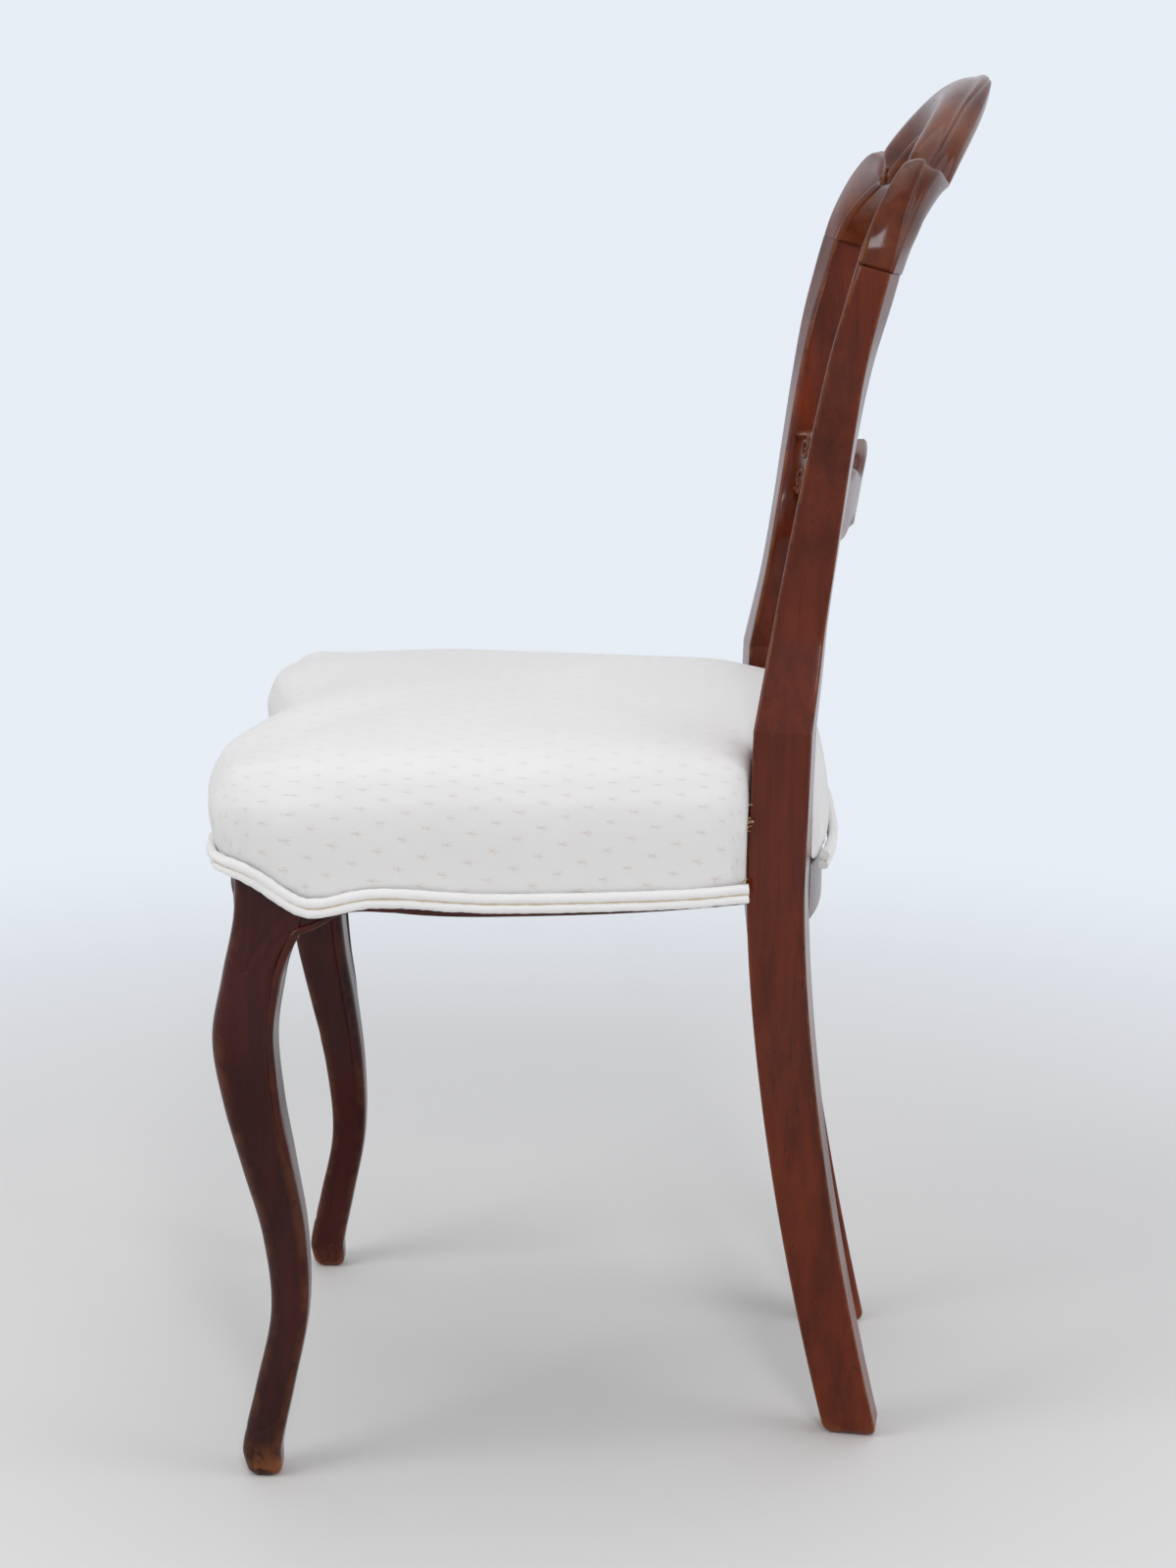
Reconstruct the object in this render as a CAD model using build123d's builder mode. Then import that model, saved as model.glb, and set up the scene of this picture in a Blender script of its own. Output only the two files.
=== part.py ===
from build123d import *
import os
from math import atan, cos, degrees, radians, sin

# Balloon back dining chair in mahogany with a stuffed-over seat, in millimetres.
# The chair faces -Y, +Z is up, and the origin lies on the floor under the middle of the whole chair.
# Left and right are the sitter's: left is +X.

os.makedirs("parts", exist_ok=True)

# ---------------------------------------------------------------- driving dimensions
# seat frame
rail_top = 438.0            # top of the seat rails above the floor
rail_thickness = 24.0
side_rail_bottom = 383.0    # lowest line of the side rails
front_rail_bottom = 389.0
rear_rail_bottom = 372.0
rail_scoop = 5.0            # how far the rails' lower edge lifts toward its ends
rail_bracket = 11.0         # drop of the small brackets where a rail meets the front leg
bracket_length = 34.0
frame_front_half = 207.0    # half width over the side rails, at the front legs
frame_front_y = -178.0      # where that width is measured
frame_back_half = 169.0     # half width over the side rails, at the back stiles
frame_back_y = 96.0
front_centre_y = -209.0     # front rail's face at the centre line, its hollow
front_swell_x = 138.0       # where the serpentine front swells most
front_swell_y = -235.0
corner_x = 206.3            # a point on the rounded front corner of the frame
corner_y = -222.3
rear_rail_back_y = 150.0    # rear rail's back face at the centre line
rear_rail_end_y = 139.0     # and beside the stiles

# back stiles, which run from the rear feet to the crest
foot_half = 109.0           # outer face of a rear foot
foot_front_y = 158.0
foot_rounding = 8.0
leg_straight_from = 400.0   # height where the rear leg's sweep starts
leg_sweep_power = 1.6       # how late the sweep comes on
leg_rake_power = 1.15
block_half = 170.0          # outer face of the stile where the seat joins it
block_front_y = 96.0
block_top = 500.0           # the flat block ends here in a crisp edge
block_width = 32.0
block_depth = 37.0
block_turn = 8.0            # degrees the stile is turned outward in plan
leg_depth = 36.0
leg_width = 27.0
waist_height = 562.0        # narrowest place of the back
waist_half = 144.0
shoulder_height = 774.0     # widest place of the back
shoulder_half = 217.5
stile_top_width = 31.0
stile_edge = 2.0            # eased long arrises of the stile

# crest rail
joint_height = 792.0        # joint of crest and stile, at the front outer corner
joint_front_y = 151.3
back_lean = 0.272           # rake of the back at the joint
back_curl = 0.00045         # how the rake grows above it
bow_at_joint = 33.0         # how far the back bows rearward between the stiles
bow_at_top = 40.0
crest_thickness = 21.0
crest_height = 902.0
crest_eye = 866.0           # underside of the crest at the centre line
cusp_x = 137.0              # outer cusp between lobe and arch
cusp_height = 846.0
lobe_x = 178.0              # rounded shoulder lobe
lobe_height = 851.0
inner_cusp_x = 118.0
inner_cusp_height = 831.0

# mid rail
mid_height = 636.0
mid_end_height = 44.0       # height of its scrolled ends
mid_centre_height = 60.0
mid_neck_height = 27.0
mid_thickness = 20.0
mid_front_y = 127.0         # its front face beside the stiles
mid_bow = 23.0
mid_lean = 0.16

# front legs
leg_post = 37.0             # square top of the front leg
post_x = 189.5              # its centre
post_y = -207.5
post_height = 52.0          # length of the square part
knee_height = 304.0
knee_swell = 13.6           # forward of the post
knee_size = 39.5
ankle_height = 112.0
ankle_size = 24.5
ankle_x = 175.5
ankle_y = -196.4
toe_x = 183.5
toe_y = -214.6
toe_size = 25.6
leg_corner_share = 0.24     # eased corners as a share of the leg's size
post_corner_share = 0.05    # the post's corners toward the rails stay nearly square

# lower edge of the cover, where the double welt lies
hem_rear = 404.0            # top of the welt beside the back stile
hem_side = 400.0            # along the side rail
hem_rise = 404.5            # a small rise in front of it
hem_dip = 398.5             # lowest, behind the front leg
hem_corner = 427.5          # over the top of the front leg
hem_front = 411.0           # at the middle of the front
hem_behind = 414.0          # across the back

# upholstery
seat_height = 506.0         # top of the crowned seat
welt_diameter = 6.4
cover_thickness = 1.6
stuffing_gap = 0.3
web_width = 50.0
web_thickness = 1.5
hessian_thickness = 1.0
side_overhang = 10.0        # how far the stuffed edge rolls past the rails
front_overhang = 14.0
rear_overhang = 5.0

# fastenings
dowel_diameter = 9.0
dowel_length = 44.0
fit_gap = 0.1
screw_diameter = 4.0
screw_length = 35.0
screw_head = 8.0
block_leg = 62.0            # size of the corner blocks along the rails
block_height = 36.0


# ---------------------------------------------------------------- back stiles
def stile_slice(height, outer_x, front_y, width, depth, turn, corner):
    """A level slice through the left stile, placed by its outer front corner."""
    x_dir = (cos(radians(turn)), -sin(radians(turn)), 0)
    plane = Plane(origin=(outer_x, front_y, height), x_dir=x_dir, z_dir=(0, 0, 1))
    with BuildSketch(plane) as level:
        Rectangle(width, depth, align=(Align.MAX, Align.MIN))
        chamfer(level.vertices(), corner)
    return level.sketch


def leg_slice(height):
    """A slice of the sabre-shaped rear leg, which rakes inward and sweeps back."""
    drop = (leg_straight_from - height) / leg_straight_from
    outer = block_half - (block_half - foot_half) * drop**leg_rake_power
    front = block_front_y + (foot_front_y - block_front_y) * drop**leg_sweep_power
    width = block_width + (leg_width - block_width) * drop
    depth = block_depth + (leg_depth - block_depth) * drop
    return stile_slice(height, outer, front, width, depth, block_turn, stile_edge)


def back_face_y(height):
    """Front face line of the upper back at its outer edge."""
    rise = height - joint_height
    return joint_front_y + back_lean * rise + back_curl * rise**2


def back_bow(height):
    share = (height - joint_height) / (crest_height - joint_height)
    return bow_at_joint + (bow_at_top - bow_at_joint) * share


joint_turn = degrees(atan(2 * bow_at_joint * (shoulder_half - stile_top_width / 2) / shoulder_half**2))
joint_plane = Plane(
    origin=(0, joint_front_y, joint_height),
    x_dir=(1, 0, 0),
    z_dir=(0, back_lean, 1),
)
foot_front = foot_front_y + foot_rounding * 0.8
stile_end = joint_height + 6
upper_stations = [
    # height, outer face, front face, width, depth, turn
    (block_top, block_half, block_front_y + 2.3, block_width, block_depth, block_turn),
    (530, 155.0, 104.0, 30.0, 35.5, 7.0),
    (waist_height, waist_half, 110.0, 29.0, 33.0, 6.0),
    (606, 151.0, 117.0, 28.0, 31.0, 6.0),
    (640, 167.0, 122.0, 28.0, 29.0, 7.0),
    (690, 191.0, 129.5, 29.0, 26.0, 9.0),
    (735, 208.5, 137.2, 30.0, 23.5, 12.5),
    (shoulder_height, shoulder_half, back_face_y(shoulder_height), stile_top_width, 21.5, joint_turn),
    (stile_end, shoulder_half, back_face_y(stile_end), stile_top_width, crest_thickness, joint_turn),
]

with BuildPart() as stile_blank:
    for station in upper_stations:
        add(stile_slice(*station, stile_edge))
    loft()

leg_steps = 7
leg_step = (leg_straight_from - foot_rounding) / leg_steps

with BuildPart() as leg_blank:
    for step in range(leg_steps + 1):
        add(leg_slice(foot_rounding + step * leg_step))
    loft()

with BuildPart() as foot_blank:
    add(stile_slice(0, foot_half - foot_rounding * 0.6, foot_front, leg_width - foot_rounding * 1.2,
                    leg_depth - foot_rounding * 1.6, block_turn, stile_edge))
    add(leg_slice(foot_rounding))
    loft()

with BuildPart() as block_blank:
    add(leg_slice(leg_straight_from))
    add(stile_slice(*upper_stations[0], stile_edge))
    loft()

with BuildPart() as stile_whole:
    add(stile_blank.part)
    add(leg_blank.part)
    add(foot_blank.part)
    add(block_blank.part)
    split(bisect_by=joint_plane, keep=Keep.BOTTOM)


# ---------------------------------------------------------------- crest rail
def bowed_slice(height, front_edge, bow, thickness, half):
    """A level slice through a board bowed rearward, with its front edge given at +-half."""
    back_edge = front_edge + thickness
    with BuildSketch(Plane.XY.offset(height)) as level:
        with BuildLine():
            ThreePointArc((-half, front_edge), (0, front_edge + bow), (half, front_edge))
            Line((half, front_edge), (half, back_edge))
            ThreePointArc((half, back_edge), (0, back_edge + bow), (-half, back_edge))
            Line((-half, back_edge), (-half, front_edge))
        make_face()
    return level.sketch


crest_reach = shoulder_half + 8
crest_depth = crest_thickness / cos(radians(joint_turn))


def crest_slice(height, forward=0.0):
    bow = back_bow(height) * (crest_reach / shoulder_half) ** 2
    edge = back_face_y(height) - (bow - back_bow(height)) - forward
    return bowed_slice(height, edge, bow, crest_depth + forward, crest_reach)


crest_foot = joint_height - 14
stile_inner = shoulder_half - stile_top_width
inner_left = [
    (-stile_inner, crest_foot),
    (-stile_inner + 3, joint_height + 2),
    (-stile_inner + 22, joint_height + 20),
    (-inner_cusp_x - 18, inner_cusp_height - 5),
    (-inner_cusp_x, inner_cusp_height),
]
arch_left = [
    (-inner_cusp_x, inner_cusp_height),
    (-inner_cusp_x * 0.62, crest_eye - 10),
    (-inner_cusp_x * 0.3, crest_eye - 1.5),
    (0, crest_eye),
]
outer_lobe = [
    (shoulder_half, crest_foot),
    (shoulder_half - 1.5, joint_height + 10),
    (shoulder_half - 9, joint_height + 28),
    (lobe_x + 18, lobe_height - 12),
    (lobe_x, lobe_height),
    (lobe_x - 22, lobe_height - 0.5),
    (cusp_x, cusp_height),
]
outer_arch = [
    (cusp_x, cusp_height),
    (cusp_x * 0.84, cusp_height + 20),
    (cusp_x * 0.5, crest_height - 13),
    (cusp_x * 0.22, crest_height - 2.5),
    (0, crest_height),
]


def mirrored(points):
    return [(-x, z) for x, z in reversed(points)]


with BuildPart() as crest_board:
    for height in (crest_foot - 6, joint_height + 20, joint_height + 62, crest_height + 8):
        add(crest_slice(height))
    loft()

# front view: two rounded lobes, two cusps and the arch between them
with BuildPart() as crest_blank:
    with BuildSketch(Plane.XZ):
        with BuildLine():
            Spline(*outer_lobe)
            Spline(*outer_arch)
            Spline(*mirrored(outer_arch))
            Spline(*mirrored(outer_lobe))
            Line((-shoulder_half, crest_foot), inner_left[0])
            Spline(*inner_left)
            Spline(*arch_left)
            Spline(*mirrored(arch_left))
            Spline(*mirrored(inner_left))
            Line(mirrored(inner_left)[-1], (shoulder_half, crest_foot))
        make_face()
    extrude(amount=400, both=True)
    add(crest_board.part, mode=Mode.INTERSECT)
    split(bisect_by=joint_plane, keep=Keep.TOP)

# ---------------------------------------------------------------- mid rail
mid_reach = 156.0           # its ends run into the stiles, where they are cut to fit
mid_blend = 112.0


def mid_slice(height):
    edge = mid_front_y + mid_lean * (height - mid_height)
    return bowed_slice(height, edge, mid_bow, mid_thickness, mid_reach)


mid_top = [
    (mid_reach, mid_height + mid_end_height * 0.45),
    (mid_blend, mid_height + mid_end_height * 0.52),
    (mid_blend * 0.66, mid_height + mid_neck_height * 0.55),
    (mid_blend * 0.36, mid_height + mid_centre_height * 0.40),
    (0, mid_height + mid_centre_height * 0.5),
]
mid_under = [
    (mid_reach, mid_height - mid_end_height * 0.45),
    (mid_blend, mid_height - mid_end_height * 0.52),
    (mid_blend * 0.66, mid_height - mid_neck_height * 0.5),
    (mid_blend * 0.36, mid_height - mid_centre_height * 0.38),
    (0, mid_height - mid_centre_height * 0.5),
]

with BuildPart() as mid_board:
    for height in (mid_height - 40, mid_height, mid_height + 40):
        add(mid_slice(height))
    loft()

with BuildPart() as mid_blank:
    with BuildSketch(Plane.XZ):
        with BuildLine():
            Spline(*mid_top)
            Spline(*mirrored(mid_top))
            Line((-mid_reach, mid_top[0][1]), (-mid_reach, mid_under[0][1]))
            Spline(*mirrored(list(reversed(mid_under)))[::-1])
            Spline(*reversed(mid_under))
            Line((mid_reach, mid_under[0][1]), (mid_reach, mid_top[0][1]))
        make_face()
    extrude(amount=400, both=True)
    add(mid_board.part, mode=Mode.INTERSECT)
    add(stile_blank.part, mode=Mode.SUBTRACT)
    add(mirror(stile_blank.part, about=Plane.YZ), mode=Mode.SUBTRACT)

# ---------------------------------------------------------------- front legs
knee_y = post_y - knee_swell


def leg_square(height, centre_x, centre_y, size, inner_share):
    """A level slice through the left front leg: a square, its outer front corner always well eased."""
    with BuildSketch(Plane.XY.offset(height)) as level:
        with Locations((centre_x, centre_y)):
            Rectangle(size, size)
        corners = level.vertices().sort_by(Axis((0, 0, 0), (1, -1, 0)))
        chamfer(corners[-1], size * leg_corner_share)
        corners = level.vertices().sort_by(Axis((0, 0, 0), (1, -1, 0)))
        chamfer(corners[:3], size * inner_share)
    return level.sketch


lower_leg = [
    # height, centre x, centre y, size, easing of the three inner corners
    (7, toe_x, toe_y + 1.0, toe_size - 3, leg_corner_share),
    (20, toe_x, toe_y, toe_size, leg_corner_share),
    (60, toe_x - 3, toe_y + 8.3, toe_size - 0.4, leg_corner_share),
    (ankle_height, ankle_x, ankle_y, ankle_size, leg_corner_share),
    (165, ankle_x + 1.5, ankle_y - 2.4, ankle_size + 4.0, leg_corner_share),
    (215, ankle_x + 8, ankle_y - 11.5, ankle_size + 9.0, leg_corner_share),
    (260, post_x - 3, knee_y + 4.2, knee_size - 2.5, leg_corner_share),
    (knee_height, post_x, knee_y, knee_size, leg_corner_share * 0.8),
    (345, post_x, post_y - 7.0, leg_post + 1.5, leg_corner_share * 0.45),
    (rail_top - post_height, post_x, post_y, leg_post, post_corner_share),
]

with BuildPart() as leg_whole:
    for station in lower_leg:
        add(leg_square(*station))
    loft()
    add(leg_square(0, toe_x + 0.5, toe_y + 4, toe_size - 11, leg_corner_share))
    add(leg_square(*lower_leg[0]))
    loft()
    add(leg_square(*lower_leg[-1]))
    extrude(amount=post_height)

# ---------------------------------------------------------------- seat frame
post_inner_x = post_x - leg_post / 2
post_back_y = post_y + leg_post / 2
post_box = Box(100, 100, 200, align=(Align.MIN, Align.MAX, Align.MIN))
post_space = Pos(post_inner_x, post_back_y, rail_top - 150) * post_box
block_box = Box(block_width, block_depth, 400, align=(Align.MAX, Align.MIN, Align.MIN))
block_space = Pos(block_half, block_front_y + 1, 200) * Rot(0, 0, -block_turn) * block_box
frame_slope = (frame_front_half - frame_back_half) / (frame_back_y - frame_front_y)
seat_middle_y = -40.0
seat_half_width = 200.0
seat_half_length = 190.0


def frame_x(y):
    """Outer face of the side rails."""
    return frame_back_half + frame_slope * (frame_back_y - y)


front_points = [
    (frame_front_half, frame_front_y),
    (frame_front_half + 1.5, post_y + 4),
    (corner_x, corner_y),
    (corner_x - 18, corner_y - 5.9),
    (front_swell_x + 31, front_swell_y + 5.0),
    (front_swell_x, front_swell_y),
    (front_swell_x * 0.55, (front_swell_y + front_centre_y) / 2 + 1),
    (0, front_centre_y),
]
rear_points = [
    (0, rear_rail_back_y),
    (frame_back_half * 0.45, rear_rail_back_y - 2),
    (frame_back_half - block_width, rear_rail_end_y),
    (frame_back_half, rear_rail_end_y - 8),
]


def across(points):
    return [(-x, y) for x, y in reversed(points)]


def grown(points, across_amount, along_amount):
    """Outline points moved outward, square to the middle of the seat."""
    moved = []
    for x, y in points:
        away_x = min(1.0, abs(x) / 150)
        away_y = min(1.0, abs(y - seat_middle_y) / 150)
        side_x = 0 if x == 0 else x / abs(x)
        side_y = (y - seat_middle_y) / abs(y - seat_middle_y)
        moved.append((x + side_x * across_amount * away_x, y + side_y * along_amount * away_y))
    return moved


def shrunk(points, across_amount, along_amount):
    """Outline points drawn in toward the middle of the seat in proportion, for the crowned top."""
    share_x = 1 + across_amount / seat_half_width
    share_y = 1 + along_amount / seat_half_length
    return [(x * share_x, seat_middle_y + (y - seat_middle_y) * share_y) for x, y in points]


def frame_face(height, side=0.0, front=None, rear=None, move=grown):
    """Plan of the seat frame at a height, grown by an amount at its sides, front and rear."""
    front_line = move(front_points, side, side if front is None else front)
    rear_line = move(rear_points, side, side if rear is None else rear)
    corner_x_now, corner_y_now = front_line[0]
    end_y = rear_line[-1][1]
    rear_line[-1] = (corner_x_now - frame_slope * (end_y - corner_y_now), end_y)
    with BuildSketch(Plane.XY.offset(height)) as level:
        with BuildLine():
            Spline(*front_line, *across(front_line)[1:])
            Line(across(front_line)[-1], across(rear_line)[0])
            Spline(*across(rear_line), *rear_line[1:])
            Line(rear_line[-1], front_line[0])
        make_face()
    return level.sketch


with BuildPart() as frame_solid:
    add(frame_face(rear_rail_bottom))
    extrude(amount=rail_top - rear_rail_bottom)

with BuildPart() as frame_core:
    add(frame_face(rear_rail_bottom, -rail_thickness))
    extrude(amount=rail_top - rear_rail_bottom)

# the frame's ring, cut into four rails by the leg posts and the stiles
with BuildPart() as frame_ring:
    add(frame_solid.part)
    add(frame_core.part, mode=Mode.SUBTRACT)
    add(post_space, mode=Mode.SUBTRACT)
    add(mirror(post_space, about=Plane.YZ), mode=Mode.SUBTRACT)
    add(block_space, mode=Mode.SUBTRACT)
    add(mirror(block_space, about=Plane.YZ), mode=Mode.SUBTRACT)
    add(stile_whole.part, mode=Mode.SUBTRACT)
    add(mirror(stile_whole.part, about=Plane.YZ), mode=Mode.SUBTRACT)
    add(leg_whole.part, mode=Mode.SUBTRACT)
    add(mirror(leg_whole.part, about=Plane.YZ), mode=Mode.SUBTRACT)

ring_by_y = frame_ring.part.solids().sort_by(Axis.Y)
side_blank = frame_ring.part.solids().sort_by(Axis.X)[-1]

side_edge = [
    (post_back_y, side_rail_bottom - rail_bracket),
    (post_back_y + bracket_length * 0.4, side_rail_bottom - rail_bracket * 0.55),
    (post_back_y + bracket_length, side_rail_bottom + 4),
    (post_back_y + bracket_length * 2, side_rail_bottom + 3.5),
    (-50, side_rail_bottom),
    (40, side_rail_bottom + 1.5),
    (frame_back_y + 10, side_rail_bottom + rail_scoop + 1),
]
front_edge = [
    (post_inner_x, front_rail_bottom - rail_bracket),
    (post_inner_x - bracket_length * 0.4, front_rail_bottom - rail_bracket * 0.55),
    (post_inner_x - bracket_length, front_rail_bottom + 3),
    (front_swell_x * 0.45, front_rail_bottom + rail_scoop),
    (0, front_rail_bottom),
]


with BuildPart() as side_whole:
    add(side_blank)
    with BuildSketch(Plane.YZ):
        with BuildLine():
            Spline(*side_edge)
            Polyline(side_edge[-1], (side_edge[-1][0], 300), (side_edge[0][0], 300), side_edge[0])
        make_face()
    extrude(amount=400, mode=Mode.SUBTRACT)

with BuildPart() as front_whole:
    add(ring_by_y[0])
    with BuildSketch(Plane.XZ):
        with BuildLine():
            Spline(*front_edge, *mirrored(front_edge)[1:])
            Polyline(mirrored(front_edge)[-1], (-post_inner_x, 300), (post_inner_x, 300), front_edge[0])
        make_face()
    extrude(amount=400, mode=Mode.SUBTRACT)

rear_whole = ring_by_y[-1]

# ---------------------------------------------------------------- corner blocks
block_bottom = rail_top - 6 - block_height
front_inner_y = front_swell_y + rail_thickness + 4
front_hypotenuse = [
    (post_inner_x - block_leg + 12, front_inner_y),
    (frame_x(front_inner_y + block_leg) - rail_thickness, front_inner_y + block_leg),
]
rear_inner_y = rear_rail_end_y - rail_thickness + 5
rear_hypotenuse = [
    (frame_back_half - rail_thickness - block_leg, rear_inner_y),
    (frame_x(rear_inner_y - block_leg) - rail_thickness, rear_inner_y - block_leg),
]


def corner_block(hypotenuse, outward):
    """A triangular block glued into a corner of the frame and fitted round the leg."""
    (x1, y1), (x2, y2) = hypotenuse
    with BuildPart() as block:
        with BuildSketch(Plane.XY.offset(block_bottom)):
            with BuildLine():
                Polyline((x1, y1), (x2, y2), (x2 + 30, y2))
                Polyline((x2 + 30, y2), (x2 + 30, y1 + outward), (x1, y1 + outward), (x1, y1))
            make_face()
        extrude(amount=block_height)
        add(frame_solid.part, mode=Mode.INTERSECT)
        add(frame_ring.part, mode=Mode.SUBTRACT)
        add(post_space, mode=Mode.SUBTRACT)
        add(block_space, mode=Mode.SUBTRACT)
        add(stile_whole.part, mode=Mode.SUBTRACT)
    return block.part.solids().sort_by(SortBy.VOLUME)[-1]


front_block_blank = corner_block(front_hypotenuse, -40)
rear_block_blank = corner_block(rear_hypotenuse, 40)

# ---------------------------------------------------------------- screws and dowels
screw_height = rail_top - 6 - block_height / 2
screw_wood = 15.0           # thickness of block left under a screw head
shank_hole = screw_diameter / 2 + fit_gap


def at_share(points, share):
    (x1, y1), (x2, y2) = points
    return x1 + (x2 - x1) * share, y1 + (y2 - y1) * share


front_x = at_share(front_hypotenuse, 0.27)[0]
front_side_y = at_share(front_hypotenuse, 0.8)[1]
rear_x = at_share(rear_hypotenuse, 0.27)[0]
rear_side_y = at_share(rear_hypotenuse, 0.75)[1]
side_seat_front = frame_x(front_side_y) - rail_thickness - screw_wood
side_seat_rear = frame_x(rear_side_y) - rail_thickness - screw_wood
front_screws = [
    Location((front_x, front_inner_y + screw_wood, screw_height), (90, 0, 0)),
    Location((side_seat_front, front_side_y, screw_height), (0, 90, 0)),
]
rear_screws = [
    Location((rear_x, rear_inner_y - screw_wood + 1, screw_height), (-90, 0, 0)),
    Location((side_seat_rear, rear_side_y, screw_height), (0, 90, 0)),
]
left_screws = front_screws + rear_screws
low_dowel = rail_top - 36
high_dowel = rail_top - 14
crest_dowel_x = shoulder_half - stile_top_width / 2
crest_dowel_bow = bow_at_joint * (1 - (crest_dowel_x / shoulder_half) ** 2)
crest_dowel_y = back_face_y(joint_height) + crest_depth / 2 + crest_dowel_bow
crest_dowel_z = joint_height - back_lean * (crest_dowel_y - joint_front_y)
crest_tilt = -degrees(atan(back_lean))
crest_dowel = Location((crest_dowel_x, crest_dowel_y, crest_dowel_z), (crest_tilt, 0, 0))
mid_joint_x = 140.0         # where the mid rail meets the stile
mid_dowel_y = mid_front_y + mid_thickness / 2 + mid_bow * (1 - (mid_joint_x / mid_reach) ** 2)
mid_dowels = [Location((mid_joint_x, mid_dowel_y + lift * mid_lean, mid_height + lift), (0, 90, 0))
              for lift in (-10, 10)]
post_dowel_y = (post_y - leg_post / 2 + front_swell_y + rail_thickness + 4) / 2
pair = (low_dowel, high_dowel)
low_pair = (low_dowel - 8, high_dowel - 8)
front_dowels = [Location((post_inner_x, post_dowel_y, z), (0, 90, 0)) for z in pair]
side_front_x = frame_x(post_back_y) - rail_thickness / 2
side_front_dowels = [Location((side_front_x, post_back_y, z), (90, 0, 0)) for z in pair]
side_rear_x = frame_x(frame_back_y) - rail_thickness / 2
side_rear_dowels = [Location((side_rear_x, frame_back_y + 2, z), (90, 0, 0)) for z in pair]
rear_joint_x = block_half - block_width + 3
rear_dowel_y = rear_rail_end_y - rail_thickness / 2
rear_dowels = [Location((rear_joint_x, rear_dowel_y, z), (0, 90, 0)) for z in low_pair]
rail_dowel_places = front_dowels + side_front_dowels + side_rear_dowels + rear_dowels


def pins(places, radius, length):
    """Straight round pins centred on the places of the left side."""
    with BuildPart() as group:
        with Locations(*places):
            Cylinder(radius, length)
    return group.part


def both_sides(part):
    return Compound(list(part.solids()) + list(mirror(part, about=Plane.YZ).solids()))


dowel_radius = dowel_diameter / 2
rail_pins = pins(rail_dowel_places, dowel_radius, dowel_length)
rail_holes = pins(rail_dowel_places, dowel_radius + fit_gap, dowel_length + 2)
mid_pins = pins(mid_dowels, dowel_radius * 0.8, dowel_length * 0.7)
mid_holes = pins(mid_dowels, dowel_radius * 0.8 + fit_gap, dowel_length * 0.7 + 2)
crest_pin = pins([crest_dowel], dowel_radius, dowel_length)
crest_hole = pins([crest_dowel], dowel_radius + fit_gap, dowel_length + 2)

with BuildPart() as screw_group:
    with Locations(*left_screws):
        Cylinder(screw_diameter / 2, screw_length, align=(Align.CENTER, Align.CENTER, Align.MIN))
        Cylinder(screw_head / 2, 3, align=(Align.CENTER, Align.CENTER, Align.MAX))

with BuildPart() as screw_holes:
    with Locations(*left_screws):
        Cylinder(shank_hole, screw_length + 1, align=(Align.CENTER, Align.CENTER, Align.MIN))
        Cylinder(screw_head / 2 + 0.5, 60, align=(Align.CENTER, Align.CENTER, Align.MAX))

with BuildPart() as back_stile_left:
    add(stile_whole.part)
    add(rail_holes, mode=Mode.SUBTRACT)
    add(mid_holes, mode=Mode.SUBTRACT)
    add(crest_hole, mode=Mode.SUBTRACT)

with BuildPart() as crest_rail:
    add(crest_blank.part)
    add(both_sides(crest_hole), mode=Mode.SUBTRACT)

with BuildPart() as mid_rail:
    add(mid_blank.part.solids().sort_by(SortBy.VOLUME)[-1])
    add(both_sides(mid_holes), mode=Mode.SUBTRACT)

with BuildPart() as post_trim:
    with Locations((post_x, post_y, rail_top - post_height / 2)):
        Box(leg_post * 2, leg_post * 2, post_height)
    add(frame_solid.part, mode=Mode.SUBTRACT)

with BuildPart() as front_leg_left:
    add(leg_whole.part)
    add(post_trim.part, mode=Mode.SUBTRACT)
    add(rail_holes, mode=Mode.SUBTRACT)

with BuildPart() as side_seat_rail_left:
    add(side_whole.part)
    add(rail_holes, mode=Mode.SUBTRACT)
    add(screw_holes.part, mode=Mode.SUBTRACT)

with BuildPart() as front_seat_rail:
    add(front_whole.part)
    add(both_sides(rail_holes), mode=Mode.SUBTRACT)
    add(both_sides(screw_holes.part), mode=Mode.SUBTRACT)

with BuildPart() as rear_seat_rail:
    add(rear_whole)
    add(both_sides(rail_holes), mode=Mode.SUBTRACT)
    add(both_sides(screw_holes.part), mode=Mode.SUBTRACT)

with BuildPart() as corner_block_front_left:
    add(front_block_blank)
    add(screw_holes.part, mode=Mode.SUBTRACT)

with BuildPart() as corner_block_rear_left:
    add(rear_block_blank)
    add(screw_holes.part, mode=Mode.SUBTRACT)

# ---------------------------------------------------------------- webbing and hessian
web_edge = 6.0              # webbing stops short of the rails' outer faces
long_webs = [-84.0, 0.0, 84.0]
cross_webs = [-158.0, -78.0, 2.0, 82.0]

# room for the back stile, kept clear by everything that is laid over the frame
keepout_box = Box(160, 160, 500, align=(Align.MIN, Align.MIN, Align.MIN))
keepout_shift = Pos(-block_width - stuffing_gap, -stuffing_gap, 200)
stile_corner = Pos(block_half, block_front_y + 0.3, 0) * Rot(0, 0, -block_turn)
block_keepout = stile_corner * keepout_shift * keepout_box


def laid_on_frame(height, thickness, edge, boxes):
    """A layer lying on the rails, in the form of the frame, cut to strips where boxes are given."""
    with BuildPart() as layer:
        add(frame_face(height, -edge))
        extrude(amount=thickness)
        add(block_keepout, mode=Mode.SUBTRACT)
        add(mirror(block_keepout, about=Plane.YZ), mode=Mode.SUBTRACT)
        if boxes:
            add(boxes, mode=Mode.INTERSECT)
    return layer.part


with BuildPart() as long_strips:
    with Locations(*[(x, 0, rail_top) for x in long_webs]):
        Box(web_width, 600, 20)

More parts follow.
